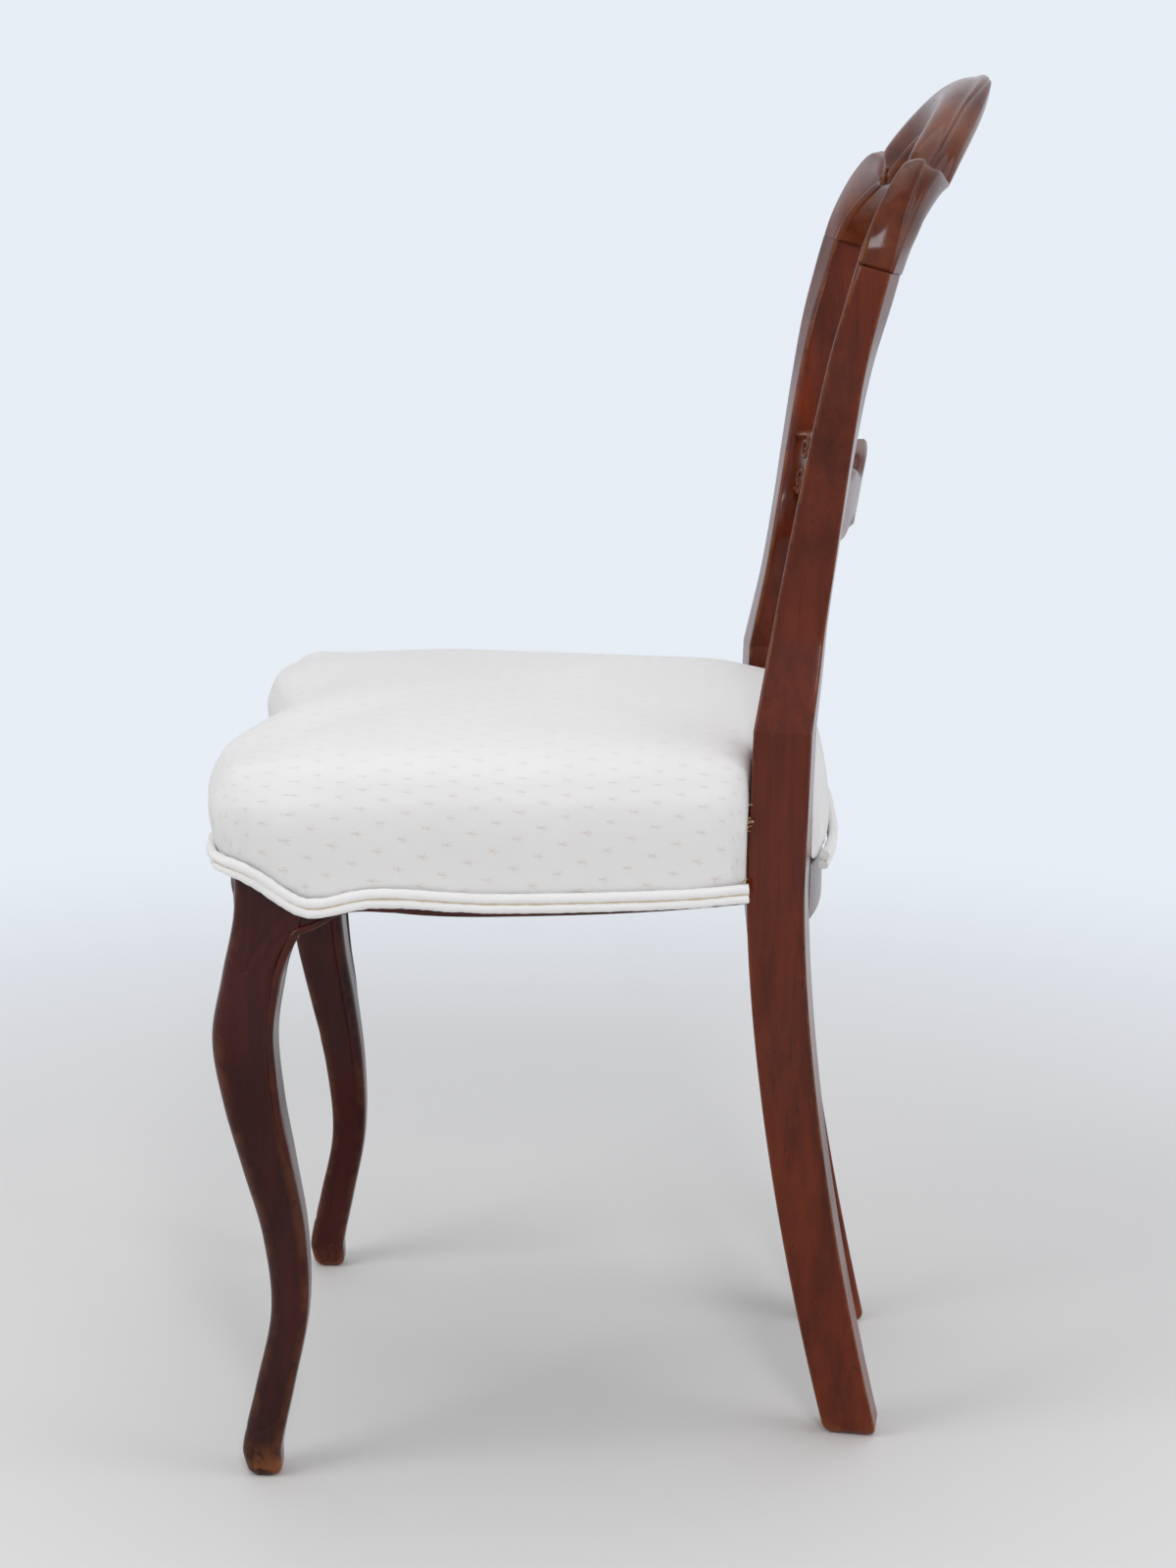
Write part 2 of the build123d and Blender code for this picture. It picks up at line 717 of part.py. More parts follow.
with BuildPart() as cross_strips:
    with Locations(*[(0, y, rail_top) for y in cross_webs]):
        Box(600, web_width, 20)

webbing_lengthwise = laid_on_frame(rail_top, web_thickness, web_edge, long_strips.part)
webbing_crosswise = laid_on_frame(rail_top + web_thickness, web_thickness, web_edge, cross_strips.part)
hessian_bottom = rail_top + 2 * web_thickness
hessian = laid_on_frame(hessian_bottom, hessian_thickness, web_edge - 2, None)

# ---------------------------------------------------------------- stuffed seat
cover_fit = stuffing_gap + cover_thickness
cushion_sides = [
    # height, growth over the frame's outline at the sides, the front and the rear
    (rear_rail_bottom, cover_fit, cover_fit, cover_fit),
    (hem_side, cover_fit + 0.4, cover_fit + 0.4, rear_overhang),
    (rail_top - 18, side_overhang * 0.4, front_overhang * 0.44, rear_overhang),
    (rail_top + 12, side_overhang, front_overhang, rear_overhang - 2),
    (rail_top + 30, side_overhang * 0.93, front_overhang * 0.93, 0.5),
    (rail_top + 43, 0.5, 1.0, -6),
]
cushion_crown = [
    # height below the top of the seat, how far the outline is drawn in all round
    (16.5, 15, 19),
    (9.5, 46, 49),
    (3.8, 92, 94),
    (0, 160, 155),
]


def cushion(inset):
    """The stuffed seat's outer form, drawn in by an inset at the sides and on top."""
    with BuildPart() as form:
        for height, side, front, rear in cushion_sides:
            drop = inset if height > rail_top + 10 else 0
            add(frame_face(height - drop, side - inset, front - inset, rear - inset))
        for drop, drawn_in, rear_in in cushion_crown:
            reach = -drawn_in - inset * 0.3
            add(frame_face(seat_height - drop - inset, reach, reach, -rear_in - inset * 0.3, shrunk))
        loft(ruled=True)
        add(block_keepout, mode=Mode.SUBTRACT)
        add(mirror(block_keepout, about=Plane.YZ), mode=Mode.SUBTRACT)
    return form.part


welt_height = 2 * welt_diameter
hem_side_line = [
    (frame_back_y + 10, hem_rear + 0.5),
    (frame_back_y - 40, hem_side + 1.0),
    (-64, hem_side),
    (post_back_y + 51, hem_rise),
    (post_back_y + 15, hem_dip),
    (post_back_y + 2, hem_dip + 3.5),
    (post_y - 4, (hem_dip + hem_corner) / 2 + 7),
    (post_y - 17, hem_corner),
    (corner_y - 30, hem_corner - 2.0),
]
hem_split_x = corner_x - 34  # the side's line rules outside of this, the front's line inside
hem_front_line = [
    (hem_split_x, hem_corner - 0.8),
    (front_swell_x, hem_corner - 4.0),
    (front_swell_x * 0.5, hem_front + 3.5),
    (0, hem_front),
]
hem_rear_line = [
    (frame_back_half, hem_behind + 2),
    (frame_back_half / 2, hem_behind + 0.5),
    (0, hem_behind),
]


def lowered(points, drop):
    return [(u, z - drop) for u, z in points]


def hem_band(plane, points, drop_top, drop_bottom, start, end):
    """What lies between two lines below the hem, seen square to the plane."""
    top = lowered(points, drop_top)
    bottom = lowered(points, drop_bottom)
    with BuildPart() as band:
        with BuildSketch(plane.offset(start)):
            with BuildLine():
                Spline(*top)
                Line(top[-1], bottom[-1])
                Spline(*bottom)
                Line(bottom[0], top[0])
            make_face()
        extrude(amount=end - start)
    return band.part


def hem_zone(drop_top, drop_bottom):
    """The whole band round the sides and front, and the rear's, as two solids."""
    side = hem_band(Plane.YZ, hem_side_line, drop_top, drop_bottom, hem_split_x, hem_split_x + 120)
    front_line = hem_front_line + mirrored(hem_front_line)[1:]
    front = hem_band(Plane.XZ, front_line, drop_top, drop_bottom, 150, 300)
    rear_line = hem_rear_line + mirrored(hem_rear_line)[1:]
    rear = hem_band(Plane.XZ, rear_line, drop_top, drop_bottom, -200, -rear_rail_end_y + 10)
    return side, front, rear


outer_form = cushion(0)
lining_form = cushion(cover_thickness)
stuffing_form = cushion(cover_thickness + stuffing_gap)

side_below, front_below, rear_below = hem_zone(welt_height - 1.5, 200)
with BuildPart() as seat_cover:
    add(outer_form)
    add(lining_form, mode=Mode.SUBTRACT)
    add(side_below, mode=Mode.SUBTRACT)
    add(mirror(side_below, about=Plane.YZ), mode=Mode.SUBTRACT)
    add(front_below, mode=Mode.SUBTRACT)
    add(rear_below, mode=Mode.SUBTRACT)

side_open, front_open, rear_open = hem_zone(-2.0, 200)
with BuildPart() as frame_and_webbing:
    add(frame_face(rear_rail_bottom - 1, stuffing_gap))
    extrude(amount=hessian_bottom + hessian_thickness - rear_rail_bottom + 1)

# the stuffing rolls over the rails' upper edges, down to the hem
with BuildPart() as seat_stuffing:
    add(stuffing_form)
    add(frame_and_webbing.part, mode=Mode.SUBTRACT)
    add(side_open, mode=Mode.SUBTRACT)
    add(mirror(side_open, about=Plane.YZ), mode=Mode.SUBTRACT)
    add(front_open, mode=Mode.SUBTRACT)
    add(rear_open, mode=Mode.SUBTRACT)

welt_outer = cushion(-welt_diameter + 0.9)
welt_inner = cushion(-stuffing_gap)
side_zone, front_zone, rear_zone = hem_zone(0, welt_height)
with BuildPart() as welt_ring:
    add(welt_outer)
    add(welt_inner, mode=Mode.SUBTRACT)

with BuildPart() as double_welt:
    add(side_zone)
    add(mirror(side_zone, about=Plane.YZ))
    add(front_zone)
    add(welt_ring.part, mode=Mode.INTERSECT)

with BuildPart() as double_welt_rear:
    add(rear_zone)
    add(welt_ring.part, mode=Mode.INTERSECT)

# ---------------------------------------------------------------- finished pieces
mirrored_pieces = {
    "back_stile": back_stile_left.part,
    "front_leg": front_leg_left.part,
    "side_seat_rail": side_seat_rail_left.part,
    "corner_block_front": corner_block_front_left.part,
    "corner_block_rear": corner_block_rear_left.part,
}
pieces = {
    "crest_rail": crest_rail.part,
    "mid_rail": mid_rail.part,
    "front_seat_rail": front_seat_rail.part,
    "rear_seat_rail": rear_seat_rail.part,
    "corner_block_screws": both_sides(screw_group.part),
    "rail_dowels": both_sides(rail_pins),
    "mid_rail_dowels": both_sides(mid_pins),
    "crest_dowels": both_sides(crest_pin),
    "webbing_lengthwise": webbing_lengthwise,
    "webbing_crosswise": webbing_crosswise,
    "hessian": hessian,
    "seat_stuffing": seat_stuffing.part,
    "seat_cover": seat_cover.part,
    "double_welt": double_welt.part,
    "double_welt_rear": double_welt_rear.part,
}
for name, part in mirrored_pieces.items():
    pieces[name + "_left"] = part
    pieces[name + "_right"] = mirror(part, about=Plane.YZ)
for name, part in pieces.items():
    part.label = name
    export_step(part, f"parts/{name}.step")
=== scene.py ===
from math import cos, exp, hypot, pi, radians, sin

import bmesh
import bpy
from mathutils import Matrix, Vector
from mathutils.bvhtree import BVHTree


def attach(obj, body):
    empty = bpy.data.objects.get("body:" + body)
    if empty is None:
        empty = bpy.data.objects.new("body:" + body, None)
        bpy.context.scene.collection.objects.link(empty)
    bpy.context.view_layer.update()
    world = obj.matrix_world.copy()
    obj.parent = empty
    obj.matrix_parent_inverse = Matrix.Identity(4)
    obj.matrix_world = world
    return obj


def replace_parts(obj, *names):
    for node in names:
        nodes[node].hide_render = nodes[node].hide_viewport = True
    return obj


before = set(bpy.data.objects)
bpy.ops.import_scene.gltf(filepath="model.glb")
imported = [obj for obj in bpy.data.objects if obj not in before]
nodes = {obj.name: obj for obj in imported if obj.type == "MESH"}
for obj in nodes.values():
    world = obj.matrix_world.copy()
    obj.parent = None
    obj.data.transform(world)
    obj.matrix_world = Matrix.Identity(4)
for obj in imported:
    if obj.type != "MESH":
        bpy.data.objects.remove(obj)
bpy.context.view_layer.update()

scene = bpy.context.scene
scene.view_settings.view_transform = "Standard"
PALE_ROOM = (0.80, 0.85, 0.92, 1)    # what stands behind the chair, for rays that show it


# ---- camera and light
def placed(name, data):
    made = bpy.data.objects.new(name, data)
    scene.collection.objects.link(made)
    return made


def camera():
    """The photograph's camera, as fitted to the chair's near side and far stile."""
    data = bpy.data.cameras.new("camera")
    data.sensor_fit = "VERTICAL"
    data.sensor_height = 36.0
    data.lens = 68.715
    scene.camera = placed("camera", data)
    back = Vector((0.97526, 0.02945, 0.2191)).normalized()
    right = Vector((-0.03209, 0.99945, 0.00852))
    right = (right - back * right.dot(back)).normalized()
    turn = Matrix((right, back.cross(right), back)).transposed().to_4x4()
    scene.camera.matrix_world = Matrix.Translation((2.0065, 0.0507, 0.8776)) @ turn


def area_light(name, place, aim, size, power, colour=(1, 1, 1)):
    data = bpy.data.lights.new(name, "AREA")
    data.shape = "RECTANGLE"
    data.size, data.size_y = size
    data.energy = power
    data.color = colour
    lamp = placed(name, data)
    lamp.location = place
    lamp.rotation_euler = (Vector(aim) - Vector(place)).to_track_quat("-Z", "Y").to_euler()


# ---- node trees
def put(tree, value, socket):
    """Gives a socket a plain value, or links it to another node's output."""
    if isinstance(value, Field):
        tree.links.new(value.socket, socket)
    else:
        socket.default_value = value


def operation(name):
    """A method that runs one operation of the Math node on a field and the values after it."""
    def method(field, *others):
        node = field.tree.nodes.new("ShaderNodeMath")
        node.operation = name
        for value, socket in zip((field, *others), node.inputs):
            put(field.tree, value, socket)
        return Field(field.tree, node.outputs[0])
    return method


class Field:
    """A socket's value that can be added, multiplied and so on like a number."""

    def __init__(self, tree, socket):
        self.tree = tree
        self.socket = socket

    __add__ = __radd__ = operation("ADD")
    __sub__ = operation("SUBTRACT")
    __mul__ = __rmul__ = operation("MULTIPLY")
    __truediv__ = operation("DIVIDE")
    power = operation("POWER")
    sine = operation("SINE")
    fraction = operation("FRACT")
    floor = operation("FLOOR")
    size = operation("ABSOLUTE")
    under = operation("LESS_THAN")
    most = operation("MAXIMUM")

    def __rsub__(self, other):
        return self * -1.0 + other

    def ramp(self, low, high):
        """0 at low, 1 at high, smooth between."""
        return Nodes(self.tree).node("ShaderNodeMapRange", {"Value": self, "From Min": low, "From Max": high},
                                     "Result", interpolation_type="SMOOTHSTEP")

    def parts(self):
        node = self.tree.nodes.new("ShaderNodeSeparateXYZ")
        put(self.tree, self, node.inputs[0])
        return [Field(self.tree, output) for output in node.outputs]


class Nodes:
    """A node tree in which every node but the maths comes from the one method."""

    def __init__(self, tree):
        self.tree = tree

    def node(self, kind, inputs=None, output=0, **settings):
        made = self.tree.nodes.new(kind)
        for key, value in settings.items():
            setattr(made, key, value)
        for key, value in (inputs or {}).items():
            put(self.tree, value, made.inputs[key])
        return Field(self.tree, made.outputs[output])

    def combine(self, x, y, z):
        return self.node("ShaderNodeCombineXYZ", {"X": x, "Y": y, "Z": z})

    def shown(self, backdrop, otherwise, share=1.0):
        """The backdrop for rays that show it, straight or in polish; the other shader for all others."""
        seen = self.node("ShaderNodeLightPath", output="Is Camera Ray")
        for ray in ("Is Glossy Ray", "Is Transmission Ray"):
            seen = seen.most(self.node("ShaderNodeLightPath", output=ray))
        return self.node("ShaderNodeMixShader", {0: seen * share, 1: otherwise, 2: backdrop})


class Shader(Nodes):
    """One material's node tree."""

    def __init__(self, name):
        self.material = bpy.data.materials.new(name)
        self.material.use_nodes = True
        super().__init__(self.material.node_tree)
        self.bsdf = self.tree.nodes["Principled BSDF"]

    def object_coords(self):
        return self.node("ShaderNodeTexCoord", output="Object")

    def attribute(self, name, output="Vector"):
        return self.node("ShaderNodeAttribute", output=output, attribute_name=name)

    def grain_coords(self, along, across_grain, with_grain):
        """Object coordinates, drawn out along one axis."""
        factors = [across_grain] * 3
        factors[along] = with_grain
        return self.node("ShaderNodeVectorMath", {0: self.object_coords(), 1: factors}, operation="MULTIPLY")

    def noise(self, coords, scale, detail=2.0, roughness=0.5, distortion=0.0):
        return self.node("ShaderNodeTexNoise", {"Vector": coords, "Scale": scale, "Detail": detail,
                                                "Roughness": roughness, "Distortion": distortion})

    def blend(self, share, first, second):
        ends = [value if isinstance(value, Field) else (*value, 1.0) for value in (first, second)]
        return self.node("ShaderNodeMix", {"Factor": share, "A": ends[0], "B": ends[1]}, "Result",
                         data_type="RGBA")

    def look(self, **values):
        """Sets or links inputs of the surface, named with underscores for spaces."""
        for name, value in values.items():
            put(self.tree, value, self.bsdf.inputs[name.replace("_", " ")])

    def bump(self, height, distance, strength):
        self.look(Normal=self.node("ShaderNodeBump", {"Strength": strength, "Distance": distance,
                                                      "Height": height}, "Normal"))


def shade(colour, factor):
    """A darker or paler tone of a colour."""
    return [c * factor for c in colour]


def mahogany(name, along, light, dark, swirl=0.6, toe=False):
    """Old polished mahogany: ribbon figure, fine open pores, worn arrises and a clear coat of polish."""
    shader = Shader(name)
    place = shader.object_coords()
    ribbon = shader.noise(shader.grain_coords(along, 15.0, 1.7), 1.0, 4.0, 0.6, swirl)
    streak = shader.noise(shader.grain_coords(along, 75.0, 4.0), 1.0, 5.0, 0.65, 0.25)
    pores = shader.noise(shader.grain_coords(along, 620.0, 26.0), 1.0).ramp(0.61, 0.73)
    cloud = shader.noise(place, 8.0, 3.0, 0.55).ramp(0.35, 0.75)
    wear = shader.attribute("wear", "Fac")
    rubbed = wear * shader.noise(place, 60.0, 3.0, 0.6).ramp(0.38, 0.62)
    tone = (ribbon * 0.5 + streak * 0.5).ramp(0.32, 0.68)
    colour = shader.blend(tone, dark, light)
    colour = shader.blend(cloud * 0.4, colour, shade(dark, 0.6))
    colour = shader.blend(pores * 0.4, colour, shade(dark, 0.35))
    colour = shader.blend(rubbed * 0.55, colour, (0.27, 0.10, 0.035))
    specks = shader.noise(place, 210.0, 2.0, 0.6).ramp(0.74, 0.78)
    colour = shader.blend(specks * 0.7, colour, shade(dark, 0.25))
    if toe:
        height = place.parts()[2]
        scuffed = (1.0 - height.ramp(0.004, 0.030)) * shader.noise(place, 45.0, 3.0, 0.6).ramp(0.45, 0.6)
        colour = shader.blend(scuffed * 0.8, colour, (0.24, 0.075, 0.02))
    shader.look(Base_Color=colour, Roughness=0.30 + cloud * 0.12 + pores * 0.12 + rubbed * 0.15,
                Specular_IOR_Level=0.05, Coat_Roughness=0.14, Coat_IOR=1.4,
                Coat_Weight=0.62 - cloud * 0.2 - rubbed * 0.3)
    shader.bump(streak * 0.35 - pores, 0.00018, 0.35)
    return shader.material


def plain_cloth(name, colour, thread, depth):
    """Plain weave of coarse yarn: jute webbing and hessian."""
    shader = Shader(name)
    x, y, _ = shader.object_coords().parts()
    over = (x * (2 * pi / thread)).sine() * (y * (2 * pi / thread)).sine()
    tone = shader.noise(shader.object_coords(), 220.0, 3.0)
    shader.look(Base_Color=shader.blend(tone, shade(colour, 0.65), colour), Roughness=0.9,
                Specular_IOR_Level=0.2)
    shader.bump(over, depth, 0.6)
    return shader.material


def plain_wood(name, light, dark, along):
    """Unpolished wood of the hidden blocks and dowels."""
    shader = Shader(name)
    grain = shader.noise(shader.grain_coords(along, 70.0, 6.0), 1.0, 4.0, 0.6)
    shader.look(Base_Color=shader.blend(grain.ramp(0.3, 0.7), dark, light), Roughness=0.75,
                Specular_IOR_Level=0.3)
    shader.bump(grain, 0.0003, 0.5)
    return shader.material


def steel(name):
    """Dull steel of the screws."""
    shader = Shader(name)
    tone = shader.noise(shader.object_coords(), 300.0, 3.0)
    shader.look(Base_Color=shader.blend(tone, (0.2, 0.19, 0.18), (0.42, 0.41, 0.4)), Metallic=1.0,
                Roughness=0.35 + tone * 0.3)
    shader.bump(tone, 0.00005, 0.4)
    return shader.material


def ivory_cloth(name, figured=True):
    """Ivory satin weave; the seat's has a small tan sprig woven in staggered rows, its tail to the rear.

    The third cloth coordinate is 1 on the seat's top, where the sprig is paled as a painted highlight of the
    brightly lit top, and on the welt's tan seam, whose tan stands for the stitching and for painted shade in
    the groove between the cords."""
    shader = Shader(name)
    across, along, share = shader.attribute("cloth").parts()
    thread = 2 * pi / 0.0008
    weave = (across * thread).sine() * (along * thread).sine()
    cloud = shader.noise(shader.combine(across * 14.0, along * 14.0, 0.0), 1.0, 3.0)
    slub = shader.noise(shader.combine(across * 1500.0, along * 90.0, 0.0), 1.0, 2.0)
    if figured:
        colour = shader.blend(cloud, (0.84, 0.825, 0.815), (0.88, 0.87, 0.862))
    else:
        colour = shader.blend(cloud, (0.88, 0.87, 0.85), (0.93, 0.92, 0.905))
    colour = shader.blend(slub.ramp(0.5, 0.8) * 0.25, colour, (0.78, 0.74, 0.69))
    height = weave * 0.35 + slub * 0.5
    if figured:
        row_pitch, pitch = 0.0082, 0.0285
        row = (across / row_pitch).floor()
        offset = row * 0.5 + (row * 0.37).sine() * 0.06
        aside = ((across / row_pitch).fraction() - 0.5) * row_pitch
        ahead = ((along / pitch + offset).fraction() - 0.5) * pitch
        ragged = shader.noise(shader.combine(across * 700.0, along * 500.0, 0.0), 1.0, 2.0) - 0.5
        stem = (aside.size() + (ahead * 0.13).size() + ragged * 0.0005).under(0.00062)
        bend = (ahead + 0.0012).size() * 0.55 + 0.0001
        wings = (aside.size() - bend + ragged * 0.0004).size().under(0.00028)
        sprig = stem.most(wings * (ahead + 0.0002).size().under(0.0026))
        fade = shader.noise(shader.combine(across * 900.0, along * 900.0, 0.0), 1.0, 1.0).ramp(0.35, 0.6)
        # painted highlight: the sprig is paled on the seat's brightly lit top
        shown = sprig * (0.12 + fade * 0.30) * (1.0 - share * 0.55)
        colour = shader.blend(shown, colour, (0.62, 0.49, 0.33))
        height = height + sprig * 0.8
    else:
        # the tan seam stands for the stitching and for painted shade in the groove between the cords
        colour = shader.blend(share.ramp(0.2, 1.0) * 0.8, colour, (0.60, 0.43, 0.22))
    shader.look(Base_Color=colour, Roughness=0.62, Specular_IOR_Level=0.3, Sheen_Weight=0.2,
                Sheen_Roughness=0.4)
    shader.bump(height, 0.0002, 0.6)
    return shader.material


def loose_thread(name):
    """Golden brown yarn of the frayed ends."""
    shader = Shader(name)
    tone = shader.noise(shader.object_coords(), 400.0, 2.0).ramp(0.35, 0.65)
    shader.look(Base_Color=shader.blend(tone, (0.50, 0.33, 0.14), (0.74, 0.62, 0.42)), Roughness=0.7,
                Specular_IOR_Level=0.25)
    return shader.material


def metres(value):
    """Numbers in any nesting of lists, given in millimetres, as metres."""
    if isinstance(value, (list, tuple)):
        return [metres(item) for item in value]
    return value / 1000


# ---- numbers shared with the solids
SEAT_MIDDLE = -0.040
FRONT_POINTS = metres([(207, -178), (208.5, -203.5), (206.3, -222.3), (188.3, -228.2), (169, -230),
    (138, -235), (75.9, -221), (0, -209)])
REAR_POINTS = metres([(0, 150), (76, 148), (137, 139), (169, 131)])
STILE_X, STILE_Y, STILE_WIDTH, STILE_TURN = 0.170, 0.096, 0.032, 8.0


def clamped(x):
    return min(1.0, max(0.0, x))


def smoothstep(low, high, x):
    t = clamped((x - low) / (high - low))
    return t * t * (3 - 2 * t)


def shares(count, first=1):
    """Even steps of 1 / count up to 1."""
    return [k / count for k in range(first, count + 1)]


def curve_through(points, steps):
    """Points on a centripetal Catmull-Rom curve through the given ones."""
    pts = [Vector(p) for p in points]
    pts = [pts[0] * 2 - pts[1]] + pts + [pts[-1] * 2 - pts[-2]]
    out = []
    for a, b, c, d in zip(pts, pts[1:], pts[2:], pts[3:]):
        t1 = (b - a).length ** 0.5
        t2 = t1 + (c - b).length ** 0.5
        t3 = t2 + (d - c).length ** 0.5
        for k in range(steps):
            t = t1 + (t2 - t1) * k / steps
            p = a * ((t1 - t) / t1) + b * (t / t1)
            q = b * ((t2 - t) / (t2 - t1)) + c * ((t - t1) / (t2 - t1))
            r = c * ((t3 - t) / (t3 - t2)) + d * ((t - t2) / (t3 - t2))
            p = p * ((t2 - t) / t2) + q * (t / t2)
            q = q * ((t3 - t) / (t3 - t1)) + r * ((t - t1) / (t3 - t1))
            out.append(p * ((t2 - t) / (t2 - t1)) + q * ((t - t1) / (t2 - t1)))
    out.append(pts[-2])
    return out


def evenly(pts, count):
    """The line through the points, divided into equal steps."""
    lengths = [0.0]
    for a, b in zip(pts, pts[1:]):
        lengths.append(lengths[-1] + (b - a).length)
    out = []
    k = 0
    for i in range(count):
        want = lengths[-1] * i / (count - 1)
        while k < len(lengths) - 2 and lengths[k + 1] < want:
            k += 1
        span = lengths[k + 1] - lengths[k] or 1.0
        out.append(pts[k].lerp(pts[k + 1], clamped((want - lengths[k]) / span)))
    return out


def line_in_front(points, count):
    """Even points on the smooth curve through (across, height) pairs, at depth 0."""
    return evenly(curve_through([(x, 0, z) for x, z in points], 24), count)


def table_curve(rows, x):
    """Smooth value at x of a table of (x, value) rows in rising x."""
    if x <= rows[0][0]:
        return rows[0][1]
    for i, ((x0, y0), (x1, y1)) in enumerate(zip(rows, rows[1:])):
        if x <= x1:
            before = rows[max(i - 1, 0)]
            after = rows[min(i + 2, len(rows) - 1)]
            m0 = (y1 - before[1]) / (x1 - before[0])
            m1 = (after[1] - y0) / (after[0] - x0)
            h = x1 - x0
            t = (x - x0) / h
            return (y0 * (1 + 2 * t) * (1 - t) ** 2 + m0 * h * t * (1 - t) ** 2
                    + y1 * t * t * (3 - 2 * t) + m1 * h * t * t * (t - 1))
    return rows[-1][1]


# ---- mesh helpers
def new_mesh(name, verts, faces, material):
    mesh = bpy.data.meshes.new(name)
    mesh.from_pydata([tuple(v) for v in verts], [], faces)
    mesh.update()
    obj = placed(name, mesh)
    if material:
        mesh.materials.append(material)
    mesh.shade_smooth()
    return obj


def skin_faces(rings, size):
    """Quads between closed rings of equal size, and a face over either end."""
    faces = []
    for r in range(0, (rings - 1) * size, size):
        for k in range(size):
            n = (k + 1) % size
            faces.append((r + k, r + n, r + size + n, r + size + k))
    faces.append(tuple(range(size))[::-1])
    faces.append(tuple((rings - 1) * size + k for k in range(size)))
    return faces


def activate(obj):
    bpy.ops.object.select_all(action="DESELECT")
    obj.select_set(True)
    bpy.context.view_layer.objects.active = obj


def outward(obj):
    """Turns all faces outward."""
    mesh = bmesh.new()
    mesh.from_mesh(obj.data)
    bmesh.ops.recalc_face_normals(mesh, faces=mesh.faces)
    mesh.to_mesh(obj.data)
    mesh.free()


def apply_modifier(obj, kind, **settings):
    mod = obj.modifiers.new(kind.lower(), kind)
    for key, value in settings.items():
        setattr(mod, key, value)
    activate(obj)
    bpy.ops.object.modifier_apply(modifier=mod.name)


def join(piece, others):
    activate(piece)
    for other in others:
        other.select_set(True)
    bpy.ops.object.join()


# ---- seat
PLAN_COUNT = 240


def frame_plan():
    """Plan of the seat frame as evenly spaced points, from the front left corner round."""
    front = FRONT_POINTS + [(-x, y) for x, y in FRONT_POINTS[-2::-1]]
    rear = [(-x, y) for x, y in REAR_POINTS[::-1]] + REAR_POINTS[1:]
    line = sum((curve_through([(x, y, 0) for x, y in half], 16) for half in (front, rear)), [])
    return evenly(line + line[:1], PLAN_COUNT + 1)[:-1]


PLAN = frame_plan()


def plan_normals():
    """Outward directions in plan at the plan's points."""
    steps = [PLAN[(k + 1) % PLAN_COUNT] - PLAN[k - 1] for k in range(PLAN_COUNT)]
    return [Vector((-step.y, step.x, 0)).normalized() for step in steps]


NORMALS = plan_normals()

SIDE_HEM = metres([(-252.3, 425.5), (-224.5, 427.5), (-211.5, 420), (-187, 402), (-174, 398.5), (-138, 404.5),
    (-64, 400), (56, 401), (106, 404.5), (160, 403)])
FRONT_HEM = metres([(0, 411), (69, 414.5), (138, 423.5), (172.3, 426.7), (202.3, 427.5), (240, 427.5)])
REAR_HEM = 0.414
REAR_FROM = 0.118           # where in plan the rear hem begins
FRONT_FROM = -0.19          # and the front's
WELT_END = 0.0995           # where the welt of the sides stops at the stile
REAR_WELT_HALF = 0.1345


def hem_height(place):
    """Height of the welt's top edge at a place on the plan."""
    if place.y > REAR_FROM:
        return REAR_HEM + 0.002 * (abs(place.x) / 0.169) ** 2
    side = table_curve(SIDE_HEM, place.y)
    front = table_curve(FRONT_HEM, abs(place.x))
    return front + (side - front) * (clamped((abs(place.x) - 0.165) / 0.03) if place.y < FRONT_FROM else 1.0)


# how far the stuffed edge stands outside the frame, by height
SIDE_GROWTH = metres([(372, 1.9), (400, 2.3), (413, 4), (428, 7), (442, 9.3), (452, 9.6), (462, 7.8),
    (470, 4.2), (476, -0.8), (482, -7.5)])
FRONT_GROWTH = metres([(372, 1.9), (400, 2.3), (413, 5.2), (428, 9.6), (442, 13), (456, 14.5), (468, 13.5),
    (476, 10.8), (482, 6.5)])
REAR_GROWTH = metres([(372, 1.9), (400, 2.2), (413, 3.4), (428, 3.8), (442, 2.4), (456, 0), (468, -2.2),
    (476, -4.8), (482, -9)])
# rings of the crown: how far drawn in, and the height at the sides and rear, and at the front
CROWN = metres([(13, 484.5, 490), (22, 487, 493.6), (34, 489.6, 496.6), (50, 492.6, 499), (72, 495.9, 501),
    (98, 499.1, 502.6), (130, 502.2, 504), (160, 504.3, 504.9), (185, 505.5, 505.5)])


def forward_share(place):
    """1 at the front of the seat, 0 behind it."""
    return smoothstep(0.14, 0.205, -place.y)


def corner_share(place):
    """1 at the two front corners of the seat, 0 away from them."""
    return forward_share(place) * smoothstep(0.09, 0.17, abs(place.x))


def growth(place, height):
    """How far the stuffed edge stands outside the frame at a height."""
    front_share = clamped((FRONT_FROM - place.y) / 0.03)
    rear_share = clamped((place.y - 0.10) / 0.025)
    side, front, rear = (table_curve(rows, height) for rows in (SIDE_GROWTH, FRONT_GROWTH, REAR_GROWTH))
    rolled = 0.008 * corner_share(place) * smoothstep(0.452, 0.482, height)
    return side * (1 - front_share - rear_share) + front * front_share + rear * rear_share - rolled


SKIRT = 0.010               # how far the padding's skirt reaches into the rails, out of sight
UNDER_HEM = 0.008           # and below the hem
UNDERSIDE = 0.443           # height of the padding's flat underside
EDGE_TOP = 0.482            # where the crown takes over from the edge
HELD, FREE = 0.430, 0.460   # the simulation moves nothing below, all above
STEPS = 20                  # how many frames it runs
TOP_FROM, TOP_FULL = 0.474, 0.490           # where the smoothing of the crown sets in
NOTCH_TOP = 0.493           # up to here the notches' sides are drawn to the stiles
NOTCH_GAP = 0.005           # from no further off than this
CLOTH_EDGE = 0.487          # where the flat cloth turns down


